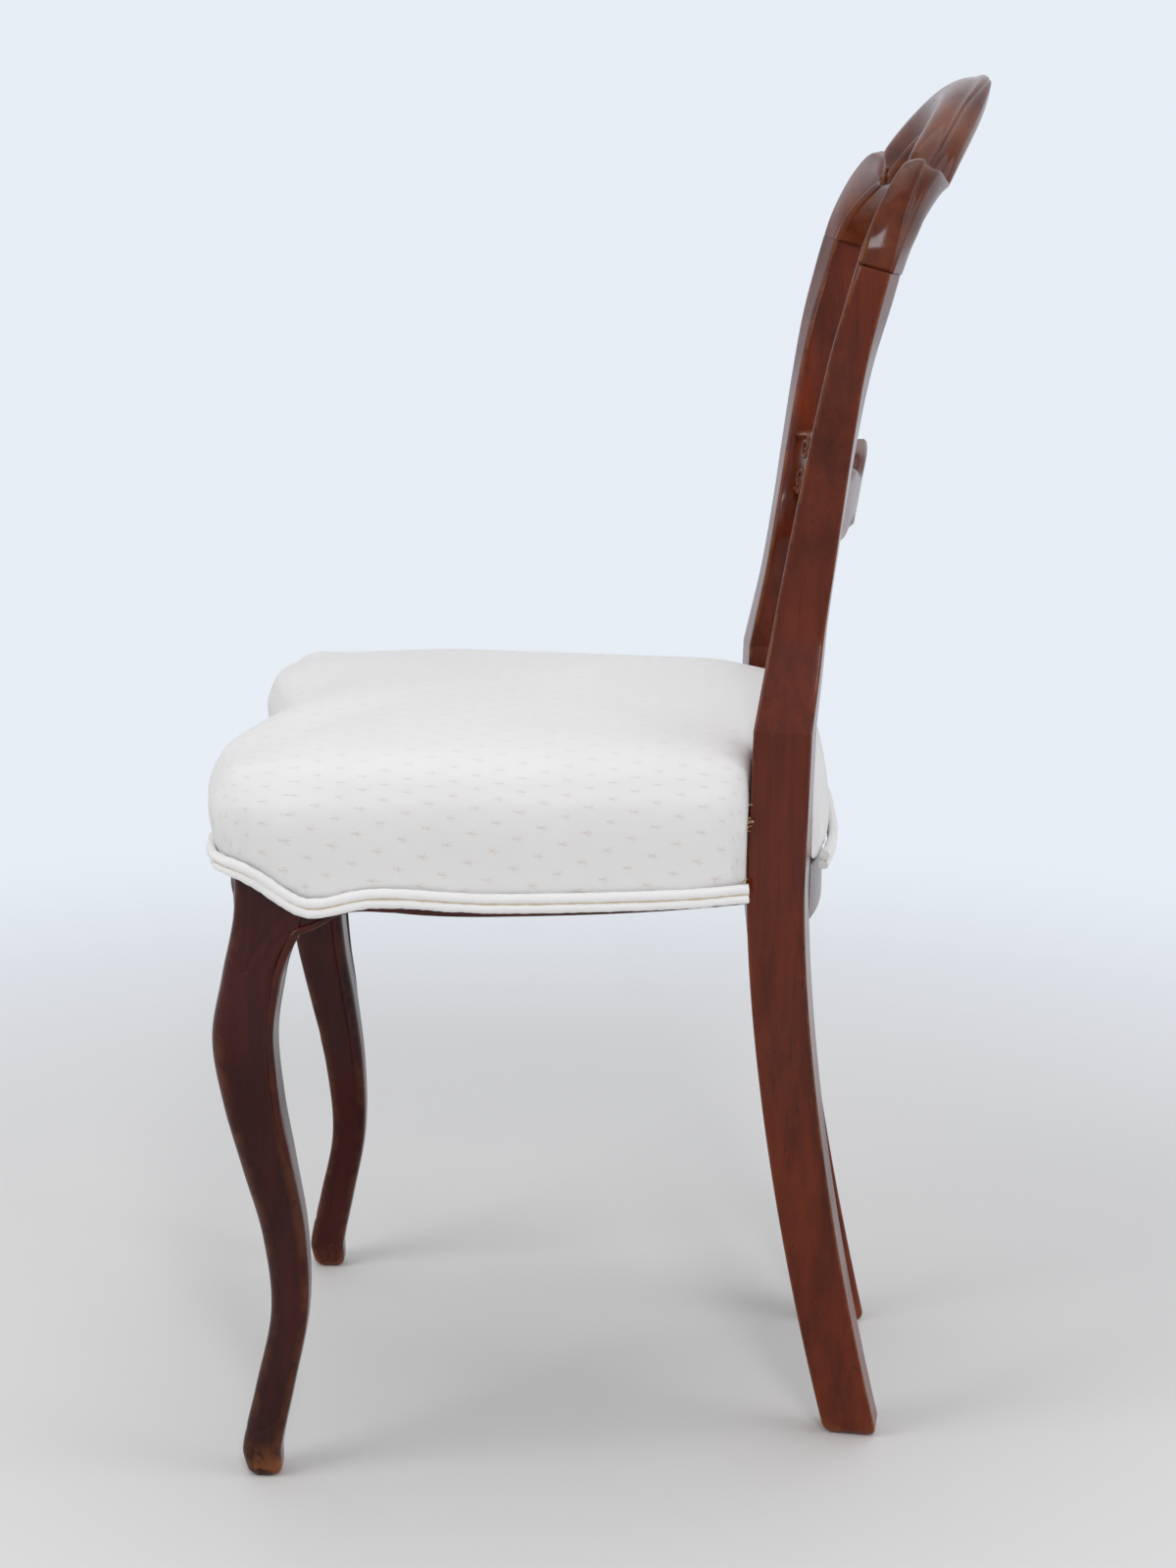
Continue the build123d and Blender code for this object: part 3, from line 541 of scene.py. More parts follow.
def cushion_rings(shrink):
    """Rings of points from the padding's underside, round its skirt under the hem and up over the crown."""
    edge = [(p, n, hem_height(p) - UNDER_HEM) for p, n in zip(PLAN, NORMALS)]
    rings = [[Vector((p.x - n.x * SKIRT, p.y - n.y * SKIRT, UNDERSIDE)) for p, n, _ in edge],
             [Vector((p.x - n.x * SKIRT, p.y - n.y * SKIRT, low)) for p, n, low in edge]]
    for share in shares(9, 0):
        ring = []
        for p, n, low in edge:
            height = low + (EDGE_TOP - low) * share
            out = p + n * (growth(p, height) - shrink)
            ring.append(Vector((out.x, out.y, height)))
        rings.append(ring)
    for drawn, low, high in CROWN:
        ring = []
        for p in PLAN:
            corner = corner_share(p)
            height = low + (high - low) * (forward_share(p) - corner) - 0.0045 * corner * (1 - drawn / 0.185)
            y = SEAT_MIDDLE + (p.y - SEAT_MIDDLE) * (1 - drawn / 0.19)
            ring.append(Vector((p.x * (1 - drawn / 0.2), y, height - shrink * 0.8)))
        rings.append(ring)
    return rings


def stile_corner(ahead, play, clear=0.0):
    """Front inner corner of the left stile's place, and the directions along its front and its inner side."""
    turn = radians(-STILE_TURN)
    beside, behind = Vector((cos(turn), sin(turn), 0)), Vector((-sin(turn), cos(turn), 0))
    corner = Vector((STILE_X, STILE_Y + ahead, 0)) - beside * (STILE_WIDTH + play) - behind * clear
    return corner, beside, behind


def stile_cutter(clear):
    """A block that takes in each stile's place and all that lies outside and behind it."""
    corner, beside, behind = stile_corner(0.0008, clear, clear)
    square = [corner + beside * a + behind * b for a, b in ((0, 0), (0.2, 0), (0.2, 0.2), (0, 0.2))]
    verts, faces = [], []
    for side in (1, -1):
        faces += [tuple(len(verts) + k for k in face) for face in skin_faces(2, 4)]
        verts += [(p.x * side, p.y, z) for z in (0.30, 0.60) for p in square]
    cutter = new_mesh("cutter", verts, faces, None)
    outward(cutter)
    return cutter


def cushion_form(name, shrink, material):
    """The padding's closed form with the room for both stiles cut out of it."""
    rings = cushion_rings(shrink)
    form = new_mesh(name, [v for ring in rings for v in ring], skin_faces(len(rings), PLAN_COUNT), material)
    outward(form)
    cutter = stile_cutter(0.0006)
    apply_modifier(form, "BOOLEAN", object=cutter, operation="DIFFERENCE", solver="MANIFOLD")
    bpy.data.objects.remove(cutter)
    return form


def seat_cushion(material):
    """The upholstered seat: its form filled by a short simulation, drawn back to shape, smoothed on top."""
    seat = cushion_form("seat_cushion", 0.003, material)
    apply_modifier(seat, "REMESH", mode="VOXEL", voxel_size=0.0052)
    puff(seat, 4.0, 0.005)
    apply_modifier(seat, "SMOOTH", factor=0.5, iterations=3)
    drawn_to_form(seat)
    top = seat.vertex_groups.new(name="top")
    for vertex in seat.data.vertices:
        top.add([vertex.index], smoothstep(TOP_FROM, TOP_FULL, vertex.co.z), "REPLACE")
    apply_modifier(seat, "SMOOTH", factor=0.5, iterations=40, vertex_group="top")
    seat.vertex_groups.clear()
    apply_modifier(seat, "SMOOTH", factor=0.5, iterations=1)
    meet_stiles(seat)
    apply_modifier(seat, "SUBSURF", levels=1)
    cloth_coords(seat)
    seat.data.shade_smooth()
    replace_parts(seat, "seat_cover", "seat_stuffing")
    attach(seat, "root")


def drawn_to_form(seat):
    """Draws the filled pad back to the cover's outline: tight at the hem, looser over the crown."""
    form = cushion_form("cover_form", 0.0, None)
    mesh = bmesh.new()
    mesh.from_mesh(form.data)
    surface = BVHTree.FromBMesh(mesh)
    for vertex in seat.data.vertices:
        near = surface.find_nearest(vertex.co)[0]
        vertex.co = vertex.co.lerp(near, 1.0 if vertex.co.z < FREE else 0.75)
    mesh.free()
    bpy.data.objects.remove(form)
    seat.data.update()


def puff(obj, pressure, cap):
    """A short cloth simulation that fills the pad, with the movement held to a cap."""
    start = [v.co.copy() for v in obj.data.vertices]
    mod = obj.modifiers.new("cloth", "CLOTH")
    mod.settings.use_pressure = True
    mod.settings.uniform_pressure_force = pressure
    mod.settings.effector_weights.gravity = 0.0
    mod.settings.quality = 5
    mod.point_cache.frame_start, mod.point_cache.frame_end = 1, STEPS
    for step in range(1, STEPS + 1):
        scene.frame_set(step)
    graph = bpy.context.evaluated_depsgraph_get()
    moved = [v.co.copy() for v in obj.evaluated_get(graph).data.vertices]
    obj.modifiers.remove(mod)
    scene.frame_set(1)
    for vertex, before, after in zip(obj.data.vertices, start, moved):
        shift = after - before
        if shift.length > cap:
            shift = shift.normalized() * cap
        vertex.co = before + shift * smoothstep(HELD, FREE, before.z)
    obj.data.update()


def meet_stiles(obj):
    """Draws the notches' sides nearly onto the stiles where they stand a few millimetres off them."""
    corner, beside, behind = stile_corner(0.0004, 0.0004)
    for vertex in obj.data.vertices:
        side = 1 if vertex.co.x > 0 else -1
        at = Vector((vertex.co.x * side, vertex.co.y, 0)) - corner
        off = at.dot(beside)
        if vertex.co.z <= NOTCH_TOP and at.dot(behind) > 0.001 and -NOTCH_GAP < off <= 0:
            at -= beside * off * 0.9
            vertex.co.x = (corner.x + at.x) * side
            vertex.co.y = corner.y + at.y
    obj.data.update()


def cloth_coords(obj):
    """Stores where each point lies in the flat cloth, which runs over the top and down the sides, and how far
    it lies on the top, where the sprig is paled as painted highlight.
    """
    layer = obj.data.attributes.new("cloth", "FLOAT_VECTOR", "POINT")
    for vertex, item in zip(obj.data.vertices, layer.data):
        p, n = vertex.co, vertex.normal
        fall = max(0.0, CLOTH_EDGE - p.z)
        flat = hypot(n.x, n.y)
        run = fall * min(1.0, fall / 0.02) / flat if flat > 0.01 else 0.0
        # the third value marks the top, where the sprig is paled as painted highlight
        item.vector = (p.x + n.x * run, p.y + n.y * run, smoothstep(0.470, 0.496, p.z))


# ---- cords and beads, by geometry nodes
class Growth(Nodes):
    """A geometry node tree with named inputs, which grows a mesh along a line of points."""

    def __init__(self, name, inputs):
        super().__init__(bpy.data.node_groups.new(name, "GeometryNodeTree"))
        sockets = self.tree.interface
        sockets.new_socket("Geometry", in_out="INPUT", socket_type="NodeSocketGeometry")
        self.names = {}
        for label, value in inputs.items():
            kind = "NodeSocketInt" if isinstance(value, int) else "NodeSocketFloat"
            made = sockets.new_socket(label, in_out="INPUT", socket_type=kind)
            made.default_value = value
            self.names[label] = made.identifier
        sockets.new_socket("Geometry", in_out="OUTPUT", socket_type="NodeSocketGeometry")
        given = self.tree.nodes.new("NodeGroupInput").outputs
        self.given = {label: Field(self.tree, given[label]) for label in ("Geometry", *inputs)}
        self.line = self.node("GeometryNodeMeshToCurve", {"Mesh": self.given["Geometry"]})

    def captured(self, geometry, factor):
        """The geometry, and a measure along it that outlives the sweep."""
        made = self.tree.nodes.new("GeometryNodeCaptureAttribute")
        made.capture_items.new("FLOAT", "kept")
        put(self.tree, geometry, made.inputs["Geometry"])
        put(self.tree, self.node("GeometryNodeSplineParameter", output=factor), made.inputs[1])
        return [Field(self.tree, output) for output in made.outputs[:2]]

    def circle(self, sides, radius):
        return self.node("GeometryNodeCurvePrimitiveCircle", {"Resolution": sides, "Radius": radius})

    def swept(self, line, profile):
        return self.node("GeometryNodeCurveToMesh",
                         {"Curve": line, "Profile Curve": profile, "Fill Caps": True})

    def finish(self, geometry, material):
        whole = self.node("GeometryNodeRealizeInstances", {"Geometry": geometry})
        made = self.node("GeometryNodeSetMaterial", {"Geometry": whole, "Material": material})
        put(self.tree, made, self.tree.nodes.new("NodeGroupOutput").inputs[0])
        return self


def cord_tree(material):
    """A round cord swept along a line of points, a little puckered, with cloth coordinates on it."""
    tree = Growth("swept_cord", {"Radius": 0.0032, "Sides": 14, "Pucker": 0.0, "TanSeamAndShade": 0.0, "Seed": 3})
    line, along = tree.captured(tree.line, "Length")
    profile, factor = tree.captured(tree.circle(tree.given["Sides"], tree.given["Radius"]), "Factor")
    stored = tree.node("GeometryNodeStoreNamedAttribute",
                       {"Geometry": tree.swept(line, profile), "Name": "cloth",
                        "Value": tree.combine(along, factor * 0.02, tree.given["TanSeamAndShade"])},
                       data_type="FLOAT_VECTOR", domain="POINT")
    fold = tree.node("ShaderNodeTexNoise", {"W": tree.given["Seed"] * 1.7, "Scale": 240.0, "Detail": 2.0},
                     noise_dimensions="4D")
    depth = (fold - 0.5) * tree.given["Pucker"]
    push = tree.node("ShaderNodeVectorMath", {0: tree.node("GeometryNodeInputNormal"), "Scale": depth},
                     operation="SCALE")
    moved = tree.node("GeometryNodeSetPosition", {"Geometry": stored, "Offset": push})
    return tree.finish(tree.node("GeometryNodeSetShadeSmooth", {"Geometry": moved}), material)


def thread_tree(material):
    """Loose thread ends that stand at random along a line of points."""
    tree = Growth("frayed_threads", {"Count": 24, "Length": 0.0045, "Seed": 5})
    length, seed = tree.given["Length"], tree.given["Seed"]
    places = tree.node("GeometryNodeResampleCurve", {"Curve": tree.line, "Count": tree.given["Count"]})
    thread = tree.node("GeometryNodeCurveQuadraticBezier",
                       {"Resolution": 6, "Start": (0.0, 0.0, -0.0005),
                        "Middle": tree.combine(-0.0012, 0.0008, length * 0.6),
                        "End": tree.combine(0.0015, 0.0, length)})
    spread = {"Min": (-0.9, -0.36, 0.0), "Max": (0.9, 0.9, 6.0), "Seed": seed}
    turn = tree.node("FunctionNodeRandomValue", spread, data_type="FLOAT_VECTOR")
    size = tree.node("FunctionNodeRandomValue", {2: 0.5, 3: 1.25, "Seed": seed}, 1, data_type="FLOAT")
    strewn = tree.node("GeometryNodeInstanceOnPoints",
                       {"Points": places, "Instance": tree.swept(thread, tree.circle(5, 0.00022)),
                        "Rotation": turn, "Scale": size})
    return tree.finish(strewn, material)


def grown_along(name, path, tree, settings):
    """Runs a tree along a path and keeps the result as a plain mesh piece."""
    mesh = bpy.data.meshes.new(name + "_line")
    mesh.from_pydata([tuple(p) for p in path], [(k, k + 1) for k in range(len(path) - 1)], [])
    line = placed(name + "_line", mesh)
    mod = line.modifiers.new("grown", "NODES")
    mod.node_group = tree.tree
    for label, value in settings.items():
        mod[tree.names[label]] = value
    graph = bpy.context.evaluated_depsgraph_get()
    made = bpy.data.meshes.new_from_object(line.evaluated_get(graph))
    made.name = name
    bpy.data.objects.remove(line)
    piece = placed(name, made)
    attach(piece, "root")
    return piece


def welt_path(lift, stand, rear=False):
    """Path of one cord of the welt round the sides and front, or across the back."""
    line = []
    for p, n in zip(PLAN, NORMALS):
        if (p.y > REAR_FROM) != rear:
            continue
        height = hem_height(p) - lift
        out = p + n * (growth(p, height) + stand)
        line.append(Vector((out.x, out.y, height)))
    if rear:
        return evenly([p for p in line if abs(p.x) < REAR_WELT_HALF], 120)
    line = [p for p in line if p.y < WELT_END]
    gap = max(range(len(line)), key=lambda k: (line[k] - line[k - 1]).length)
    return evenly(line[gap:] + line[:gap], 420)


# ---- carved and shaped wood
def row_at(rows, height):
    """All columns of a table, smoothly between its rows, whose first column rises."""
    return [table_curve([(row[0], row[k]) for row in rows], height) for k in range(1, len(rows[0]))]


def rounded_loop(width, depth, radii, sides, steps=5):
    """Points (a, b, wear) round a rectangle from the front outer corner on, its corners rounded.

    a runs from the inner to the outer face and b from front to back; wear is 1 on an arris."""
    front_outer, back_outer, back_inner, front_inner = radii
    corners = [(width - front_outer, front_outer, front_outer, -90),
               (width - back_outer, depth - back_outer, back_outer, 0),
               (back_inner, depth - back_inner, back_inner, 90),
               (front_inner, front_inner, front_inner, 180)]
    arcs = []
    for a, b, radius, start in corners:
        turns = [(radians(start + 90 * q), sin(pi * q)) for q in shares(steps, 0)]
        arcs.append([(a + radius * cos(turn), b + radius * sin(turn), wear) for turn, wear in turns])
    loop = []
    for arc, after, parts in zip(arcs, arcs[1:] + arcs[:1], sides):
        (a0, b0, _), (a1, b1, _) = arc[-1], after[0]
        loop += arc + [(a0 + (a1 - a0) * q, b0 + (b1 - b0) * q, 0.0) for q in shares(parts)[:-1]]
    return loop


def lofted(name, rings, material, mirrored=False, sharp=()):
    """A closed solid through rings of (point, wear) pairs; wear says where its polish is rubbed."""
    size = len(rings[0])
    pairs = [pair for ring in rings for pair in ring]
    side = -1 if mirrored else 1
    piece = new_mesh(name, [(v.x * side, v.y, v.z) for v, _ in pairs], skin_faces(len(rings), size), material)
    layer = piece.data.attributes.new("wear", "FLOAT", "POINT")
    for item, (_, wear) in zip(layer.data, pairs):
        item.value = wear
    for edge in piece.data.edges:
        first, second = (vertex // size for vertex in edge.vertices)
        if first == second and first in sharp:
            edge.use_edge_sharp = True
    outward(piece)
    return piece


def rigid(piece, *nodes_replaced):
    """Declares a piece of the wooden frame."""
    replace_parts(piece, *nodes_replaced)
    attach(piece, "root")


BACK_LEAN, BACK_CURL = 0.272, 0.45          # slope of the back at the crest joint, and how it grows per metre
JOINT_HEIGHT, JOINT_FRONT = 0.792, 0.1513
SHOULDER = 0.2175


def back_face(height):
    """Depth of the back's front surface at a height: raked and curling to the rear."""
    rise = height - JOINT_HEIGHT
    return JOINT_FRONT + BACK_LEAN * rise + BACK_CURL * rise * rise


JOINT_TURN = 15.74
STILE_ROWS = [
    # height, outer face, front face, width, depth, turn in degrees, rounding of the front outer arris
    (0.500, 0.1700, 0.0983, 0.0320, 0.0370, 8.0, 0.0020),
    (0.530, 0.1550, 0.1040, 0.0300, 0.0355, 7.0, 0.0022),
    (0.562, 0.1440, 0.1100, 0.0290, 0.0330, 6.0, 0.0024),
    (0.606, 0.1510, 0.1170, 0.0280, 0.0310, 6.0, 0.0026),
    (0.640, 0.1670, 0.1220, 0.0280, 0.0290, 7.0, 0.0028),
    (0.690, 0.1910, 0.1295, 0.0290, 0.0260, 9.0, 0.0032),
    (0.735, 0.2085, 0.1372, 0.0300, 0.0235, 12.5, 0.0038),
    (0.774, SHOULDER, back_face(0.774), 0.0310, 0.0215, JOINT_TURN, 0.0044),
    (0.798, SHOULDER, back_face(0.798), 0.0310, 0.0210, JOINT_TURN, 0.0048),
]
SWEEP_FROM, BLOCK_TOP = 0.400, 0.500        # the sabre sweep lies below the block at the seat
FOOT_ROUND = 0.008


def stile_row(height):
    """Columns of STILE_ROWS at any height, for the block and the sabre leg too."""
    if height > BLOCK_TOP:
        return row_at(STILE_ROWS, height)
    if height > SWEEP_FROM:
        share = (height - SWEEP_FROM) / 0.1
        return 0.170, 0.096 + 0.0023 * share, 0.032, 0.037, 8.0, 0.0020
    drop = (SWEEP_FROM - height) / SWEEP_FROM
    foot = max(0.0, FOOT_ROUND - height)
    inset = FOOT_ROUND - (FOOT_ROUND ** 2 - foot ** 2) ** 0.5
    outer = 0.170 - 0.061 * drop ** 1.15 - inset * 0.6
    front = 0.096 + 0.062 * drop ** 1.6 + inset * 0.8
    return outer, front, 0.032 - 0.005 * drop - inset * 1.2, 0.037 - 0.001 * drop - inset * 1.6, 8.0, 0.0022


def back_stile(name, node, material, mirrored):
    heights = [FOOT_ROUND * (1 - cos(pi / 2 * k / 6)) for k in range(6)]
    heights += [FOOT_ROUND + (0.498 - FOOT_ROUND) * q for q in shares(80, 0)]
    crease = len(heights)
    heights += [BLOCK_TOP] + [BLOCK_TOP + (JOINT_HEIGHT - 0.5006) * q for q in shares(90)]
    heights.append(JOINT_HEIGHT - 0.0002)
    rings = []
    for n, height in enumerate(heights):
        outer, front, width, depth, turn, edge = stile_row(height)
        turn = radians(turn)
        drawn = (0.1 / 15, 0.1 / 12) if n == len(heights) - 1 else (0.0, 0.0)
        lean = BACK_LEAN * smoothstep(0.70, JOINT_HEIGHT, height)
        ring = []
        for a, b, arris in rounded_loop(width, depth, (edge, 0.0016, 0.0022, 0.0026), (8, 8, 6, 6)):
            a += (width / 2 - a) * drawn[0]
            b += (depth / 2 - b) * drawn[1]
            x = outer + (a - width) * cos(turn) + b * sin(turn)
            y = front - (a - width) * sin(turn) + b * cos(turn)
            ring.append((Vector((x, y, height - lean * (y - front))),
                         arris * 0.8 + 0.8 * (1 - smoothstep(0.0, 0.02, height))))
        rings.append(ring)
    rigid(lofted(name, rings, material, mirrored, sharp=(crease,)), node)


LOBE_OUTER = metres([(217.5, 792), (216, 803.5), (208.5, 820), (196, 838), (178, 850.5), (156, 850),
    (137, 846)])
LOBE_INNER = metres([(186.5, 789.6), (182.5, 797), (164.5, 812), (136, 826), (118, 831)])
ARCH_OUTER = metres([(137, 846), (115, 866), (68.5, 889), (30, 899.5), (0, 902)])
ARCH_INNER = metres([(118, 831), (73.2, 856), (35.4, 864.5), (0, 866)])
LOBE_STEPS, ARCH_STEPS = 56, 64
CREST_THICK = 0.0218


def crest_front(x, z):
    """Depth of the crest's front surface, which is bowed to the rear and raked."""
    bow = 0.033 + 0.007 * (z - JOINT_HEIGHT) / 0.110
    return back_face(z) + bow * (1 - (x / SHOULDER) ** 2)


def crest_stations():
    """Pairs of points on the inner and outer line from the left joint over the arch to the right one.

    With each pair goes u: 0 at the joint, 1 at the cusp between lobe and arch, 2 at the middle."""
    half = []
    for first, inner, outer, steps in ((0, LOBE_INNER, LOBE_OUTER, LOBE_STEPS),
                                       (1, ARCH_INNER, ARCH_OUTER, ARCH_STEPS)):
        pairs = zip(line_in_front(inner, steps + 1), line_in_front(outer, steps + 1))
        half += [(a, b, first + k / steps) for k, (a, b) in enumerate(pairs)][first:]
    flip = Vector((-1, 1, 1))
    return half + [(a * flip, b * flip, u) for a, b, u in reversed(half[:-1])]


CREST_BACK_ROUND = 0.002


def crest_profile(width, u):
    """Round the section: (distance from the inner edge, depth behind the front surface, wear)."""
    free = smoothstep(0.0, 0.30, u)
    arch = smoothstep(0.97, 1.12, u)
    high = smoothstep(0.35, 0.95, u) * (1 - arch)
    centre = smoothstep(1.35, 1.95, u)
    valley = 0.0026 * exp(-((u - 1.0) / 0.06) ** 2)
    chamfer = 0.0016 + 0.0105 * smoothstep(0.05, 0.9, u) * (1 - 0.2 * arch) * (1 - 0.95 * centre)
    round_in, round_out = 0.0014, 0.0048 - 0.0028 * free + 0.0025 * high + 0.0060 * arch + 0.0040 * centre
    swell, back_swell = (0.0022 + 0.0050 * arch) * free, 0.0030 * free
    bead, groove = 0.0022 * free, 0.0010 * free
    front, side_from, side_to = valley - swell * arch, valley + round_out, CREST_THICK - chamfer
    field_from, flank, back = 0.0068, width - chamfer * 0.95, CREST_THICK - CREST_BACK_ROUND
    points = [(0.0, round_in + valley, 0.6)]
    for q in shares(8):
        depth = valley + 0.0004 + groove * 0.6 - bead * sin(pi * q)
        points.append((0.0008 + 0.0046 * q, depth, 0.7 * sin(pi * q)))
    points.append((0.0060, valley + groove + 0.0003, 0.0))
    for q in shares(16, 0):
        form = (1 - arch) * sin(pi * q ** 0.85) ** 0.9 + arch * sin(pi / 2 * q)
        depth = valley + groove * (1 - q) - swell * form
        points.append((field_from + (width - round_out - field_from) * q, depth, 0.0))
    for q in shares(8):
        depth = front + (side_from - front) * (1 - cos(pi / 2 * q))
        points.append((width - round_out * (1 - sin(pi / 2 * q)), depth, sin(pi * q) * (1 - 0.7 * arch)))
    points += [(width + 0.0013 * free * sin(pi * q), side_from + (side_to - side_from) * q,
                0.4 if q == 1 else 0.0) for q in shares(8)]
    points += [(width + (flank - width) * q, side_to + chamfer * (q - 0.25 * sin(pi * q)), 0.5 * (1 - q))
               for q in shares(5)]
    points += [(flank + (CREST_BACK_ROUND - flank) * q, CREST_THICK + back_swell * sin(pi * q), 0.0)
               for q in shares(10)[:-1]]
    points += [(CREST_BACK_ROUND * (1 - sin(pi / 2 * q)), back + CREST_BACK_ROUND * cos(pi / 2 * q), 0.0)
               for q in shares(4, 0)]
    return points + [(0.0, back + (round_in + valley - back) * q, 0.0) for q in shares(6)[:-1]]


def crest_rail(material):
    stations = crest_stations()
    rings = []
    for n, (inner, outer, u) in enumerate(stations):
        width = (outer - inner).length
        across = (outer - inner) / width
        lean = BACK_LEAN * (1 - smoothstep(0.0, 0.4, u))
        ring = []
        for along, depth, arris in crest_profile(width, u):
            p = inner + across * along
            ring.append((Vector((p.x, crest_front(p.x, p.z) + depth, p.z - lean * depth)), arris * 0.7))
        if n in (0, len(stations) - 1):
            middle = sum((v for v, _ in ring), Vector()) / len(ring)
            ring = [(v.lerp(middle, 0.008), wear) for v, wear in ring]
        rings.append(ring)
    cusps = (LOBE_STEPS, len(stations) - 1 - LOBE_STEPS)
    piece = lofted("crest", rings, material, sharp=cusps)
    join(piece, [curl(side, 0.1235, 0.8345, crest_front, 0.0052, material) for side in (1, -1)])
    rigid(piece, "crest_rail")


def curl(side, x0, z0, front, size, material, turns=1.3, rise=1):
    """A small carved volute: a tapering half-sunk cord that winds in to an eye."""
    rings = []
    for q in shares(55, 0):
        angle = pi / 2 + 2 * pi * turns * q
        reach = size * (1 - q) ** 0.8 + 0.0006
        x, z = x0 + reach * cos(angle), z0 + rise * reach * sin(angle)
        radius = 0.0017 * (1 - 0.35 * q)
        aside = Vector((rise * cos(angle), 0, sin(angle)))
        ring = [Vector((x, front(x, z) - 0.0001, z)) + aside * radius * cos(2 * pi * t)
                + Vector((0, 1, 0)) * radius * sin(2 * pi * t) for t in shares(12, 0)[:-1]]
        rings.append([(Vector((v.x * side, v.y, v.z)), 0.4) for v in ring])
    return lofted("curl", rings, material)


MID_TOP = metres([(150, 19.8), (112, 22.9), (73.9, 14.85), (40.3, 24), (0, 30)])
MID_UNDER = metres([(150, -19.8), (112, -22.9), (73.9, -13.5), (40.3, -22.8), (0, -30)])
MID_HEIGHT, MID_THICK = 0.636, 0.020


def mid_front(x, z):
    """Depth of the mid rail's front surface, bowed and raked like the crest."""
    return 0.127 + 0.16 * (z - MID_HEIGHT) + 0.023 * (1 - (x / 0.156) ** 2)


def mid_profile(height):
    """Round the section from the lower edge: (distance up, depth behind the front surface, wear)."""
    edge, field_from, back_round = 0.0030, 0.0070, 0.002
    back = MID_THICK - back_round
    beads = [(0.0006 + 0.0048 * q, 0.0014 - 0.0022 * sin(pi * q), 0.7 * sin(pi * q)) for q in shares(8, 0)]
    beads.append((0.0062, 0.0022, 0.0))
    points = [(0.0, edge, 0.3)] + beads
    points += [(field_from + (height - 2 * field_from) * q, 0.0020 - 0.0026 * sin(pi * q), 0.0)
               for q in shares(8, 0)]
    points += [(height - rise, depth, wear) for rise, depth, wear in reversed(beads)]
    points.append((height, edge, 0.3))
    points += [(height, edge + (back - edge) * q, 0.0) for q in shares(5)]
    points += [(height - back_round * q, back + back_round * q, 0.3) for q in shares(3)]
    points += [(height - back_round - (height - 2 * back_round) * q, MID_THICK, 0.0) for q in shares(8)]
    points += [(back_round * (1 - q), MID_THICK - back_round * q, 0.3) for q in shares(3)]
    return points + [(0.0, back + (edge - back) * q, 0.0) for q in shares(5)[:-1]]


def mid_rail(material):
    pairs = list(zip(line_in_front(MID_UNDER, 70), line_in_front(MID_TOP, 70)))
    flip = Vector((-1, 1, 1))
    pairs += [(a * flip, b * flip) for a, b in reversed(pairs[:-1])]
    rings = []
    for low, high in pairs:
        height = (high - low).length
        up = (high - low) / height
        ring = []
        for rise, depth, arris in mid_profile(height):
            p = low + up * rise
            z = p.z + MID_HEIGHT
            ring.append((Vector((p.x, mid_front(p.x, z) + depth, z)), arris * 0.6))
        rings.append(ring)
    piece = lofted("mid_rail_carved", rings, material)
    join(piece, [curl(side, 0.117, MID_HEIGHT + rise * 0.0115, mid_front, 0.0085, material, 1.5, rise)
                 for side in (1, -1) for rise in (1, -1)])
    rigid(piece, "mid_rail")


LEG_ROWS = metres([
    # height, centre across, centre along, size, rounding of the outer arris and of the others
    (0, 183.8, -212.6, 20, 6, 5.8),
    (7, 183.5, -213.6, 23.4, 6.8, 6),
    (20, 183.5, -214.6, 25.6, 7.2, 6.2),
    (60, 180.5, -206.3, 25.2, 7.2, 6),
    (112, 175.5, -196.4, 24.5, 7, 5.8),
    (165, 177, -198.8, 28.5, 8.2, 6.6),
    (215, 183.5, -207.9, 33.5, 9.5, 7.2),
    (260, 186.5, -216.9, 37, 10, 7),
    (304, 189.5, -221.1, 39.5, 10, 6.2),
    (345, 189.5, -214.5, 38.5, 9, 3.6),
    (386, 189.5, -207.5, 37, 8.5, 1.4),
    (437, 189.5, -207.5, 37, 8.5, 1),
])
# carved lines on the knee as (distance behind the leg's front edge, height), and each one's depth and breadth
KNEE_LINES = metres([
    ([(14.5, 349.6), (20, 366.9), (28, 384.2), (34.5, 396), (36.5, 405)], 1.9, 2.6),
    ([(14.5, 349.6), (11.5, 362.3), (9, 382.6), (8.5, 405)], 1.5, 2.3),
    ([(17, 362), (17.5, 380), (20, 405)], 0.9, 1.8),
    ([(25, 353), (27, 367.1), (32.5, 380)], 1.2, 2),
    ([(34.5, 370), (33, 358.9), (32.5, 336.4), (33.5, 311.3), (32.5, 282.9),
      (30, 247.1), (26.5, 221), (25, 190)], 1, 1.5),
])
SKIN = 0.0008               # how near a face a point of the section is to count as on it
TOE_ARC = metres([(33, 62.6), (28, 50.9), (21, 41.8), (14, 35.5), (6, 31.9)])


def line_distance(points, u, z):
    """Distance from (u, z) to a line through points."""
    best = 1.0
    for (u0, z0), (u1, z1) in zip(points, points[1:]):
        du, dz = u1 - u0, z1 - z0
        t = clamped(((u - u0) * du + (z - z0) * dz) / (du * du + dz * dz))
        best = min(best, hypot(u - u0 - du * t, z - z0 - dz * t))
    return best


def carving(u, z):
    """How deep the knee's carved lines and the toe's crease are cut, u behind the leg's front edge."""
    depth = 0.0
    if 0.17 < z < 0.41:
        depth = max(deep * exp(-(line_distance(points, u, z) / broad) ** 2)
                    for points, deep, broad in KNEE_LINES)
    if 0.02 < z < 0.075:
        depth += 0.0007 * exp(-(line_distance(TOE_ARC, u, z) / 0.0016) ** 2)
    return depth


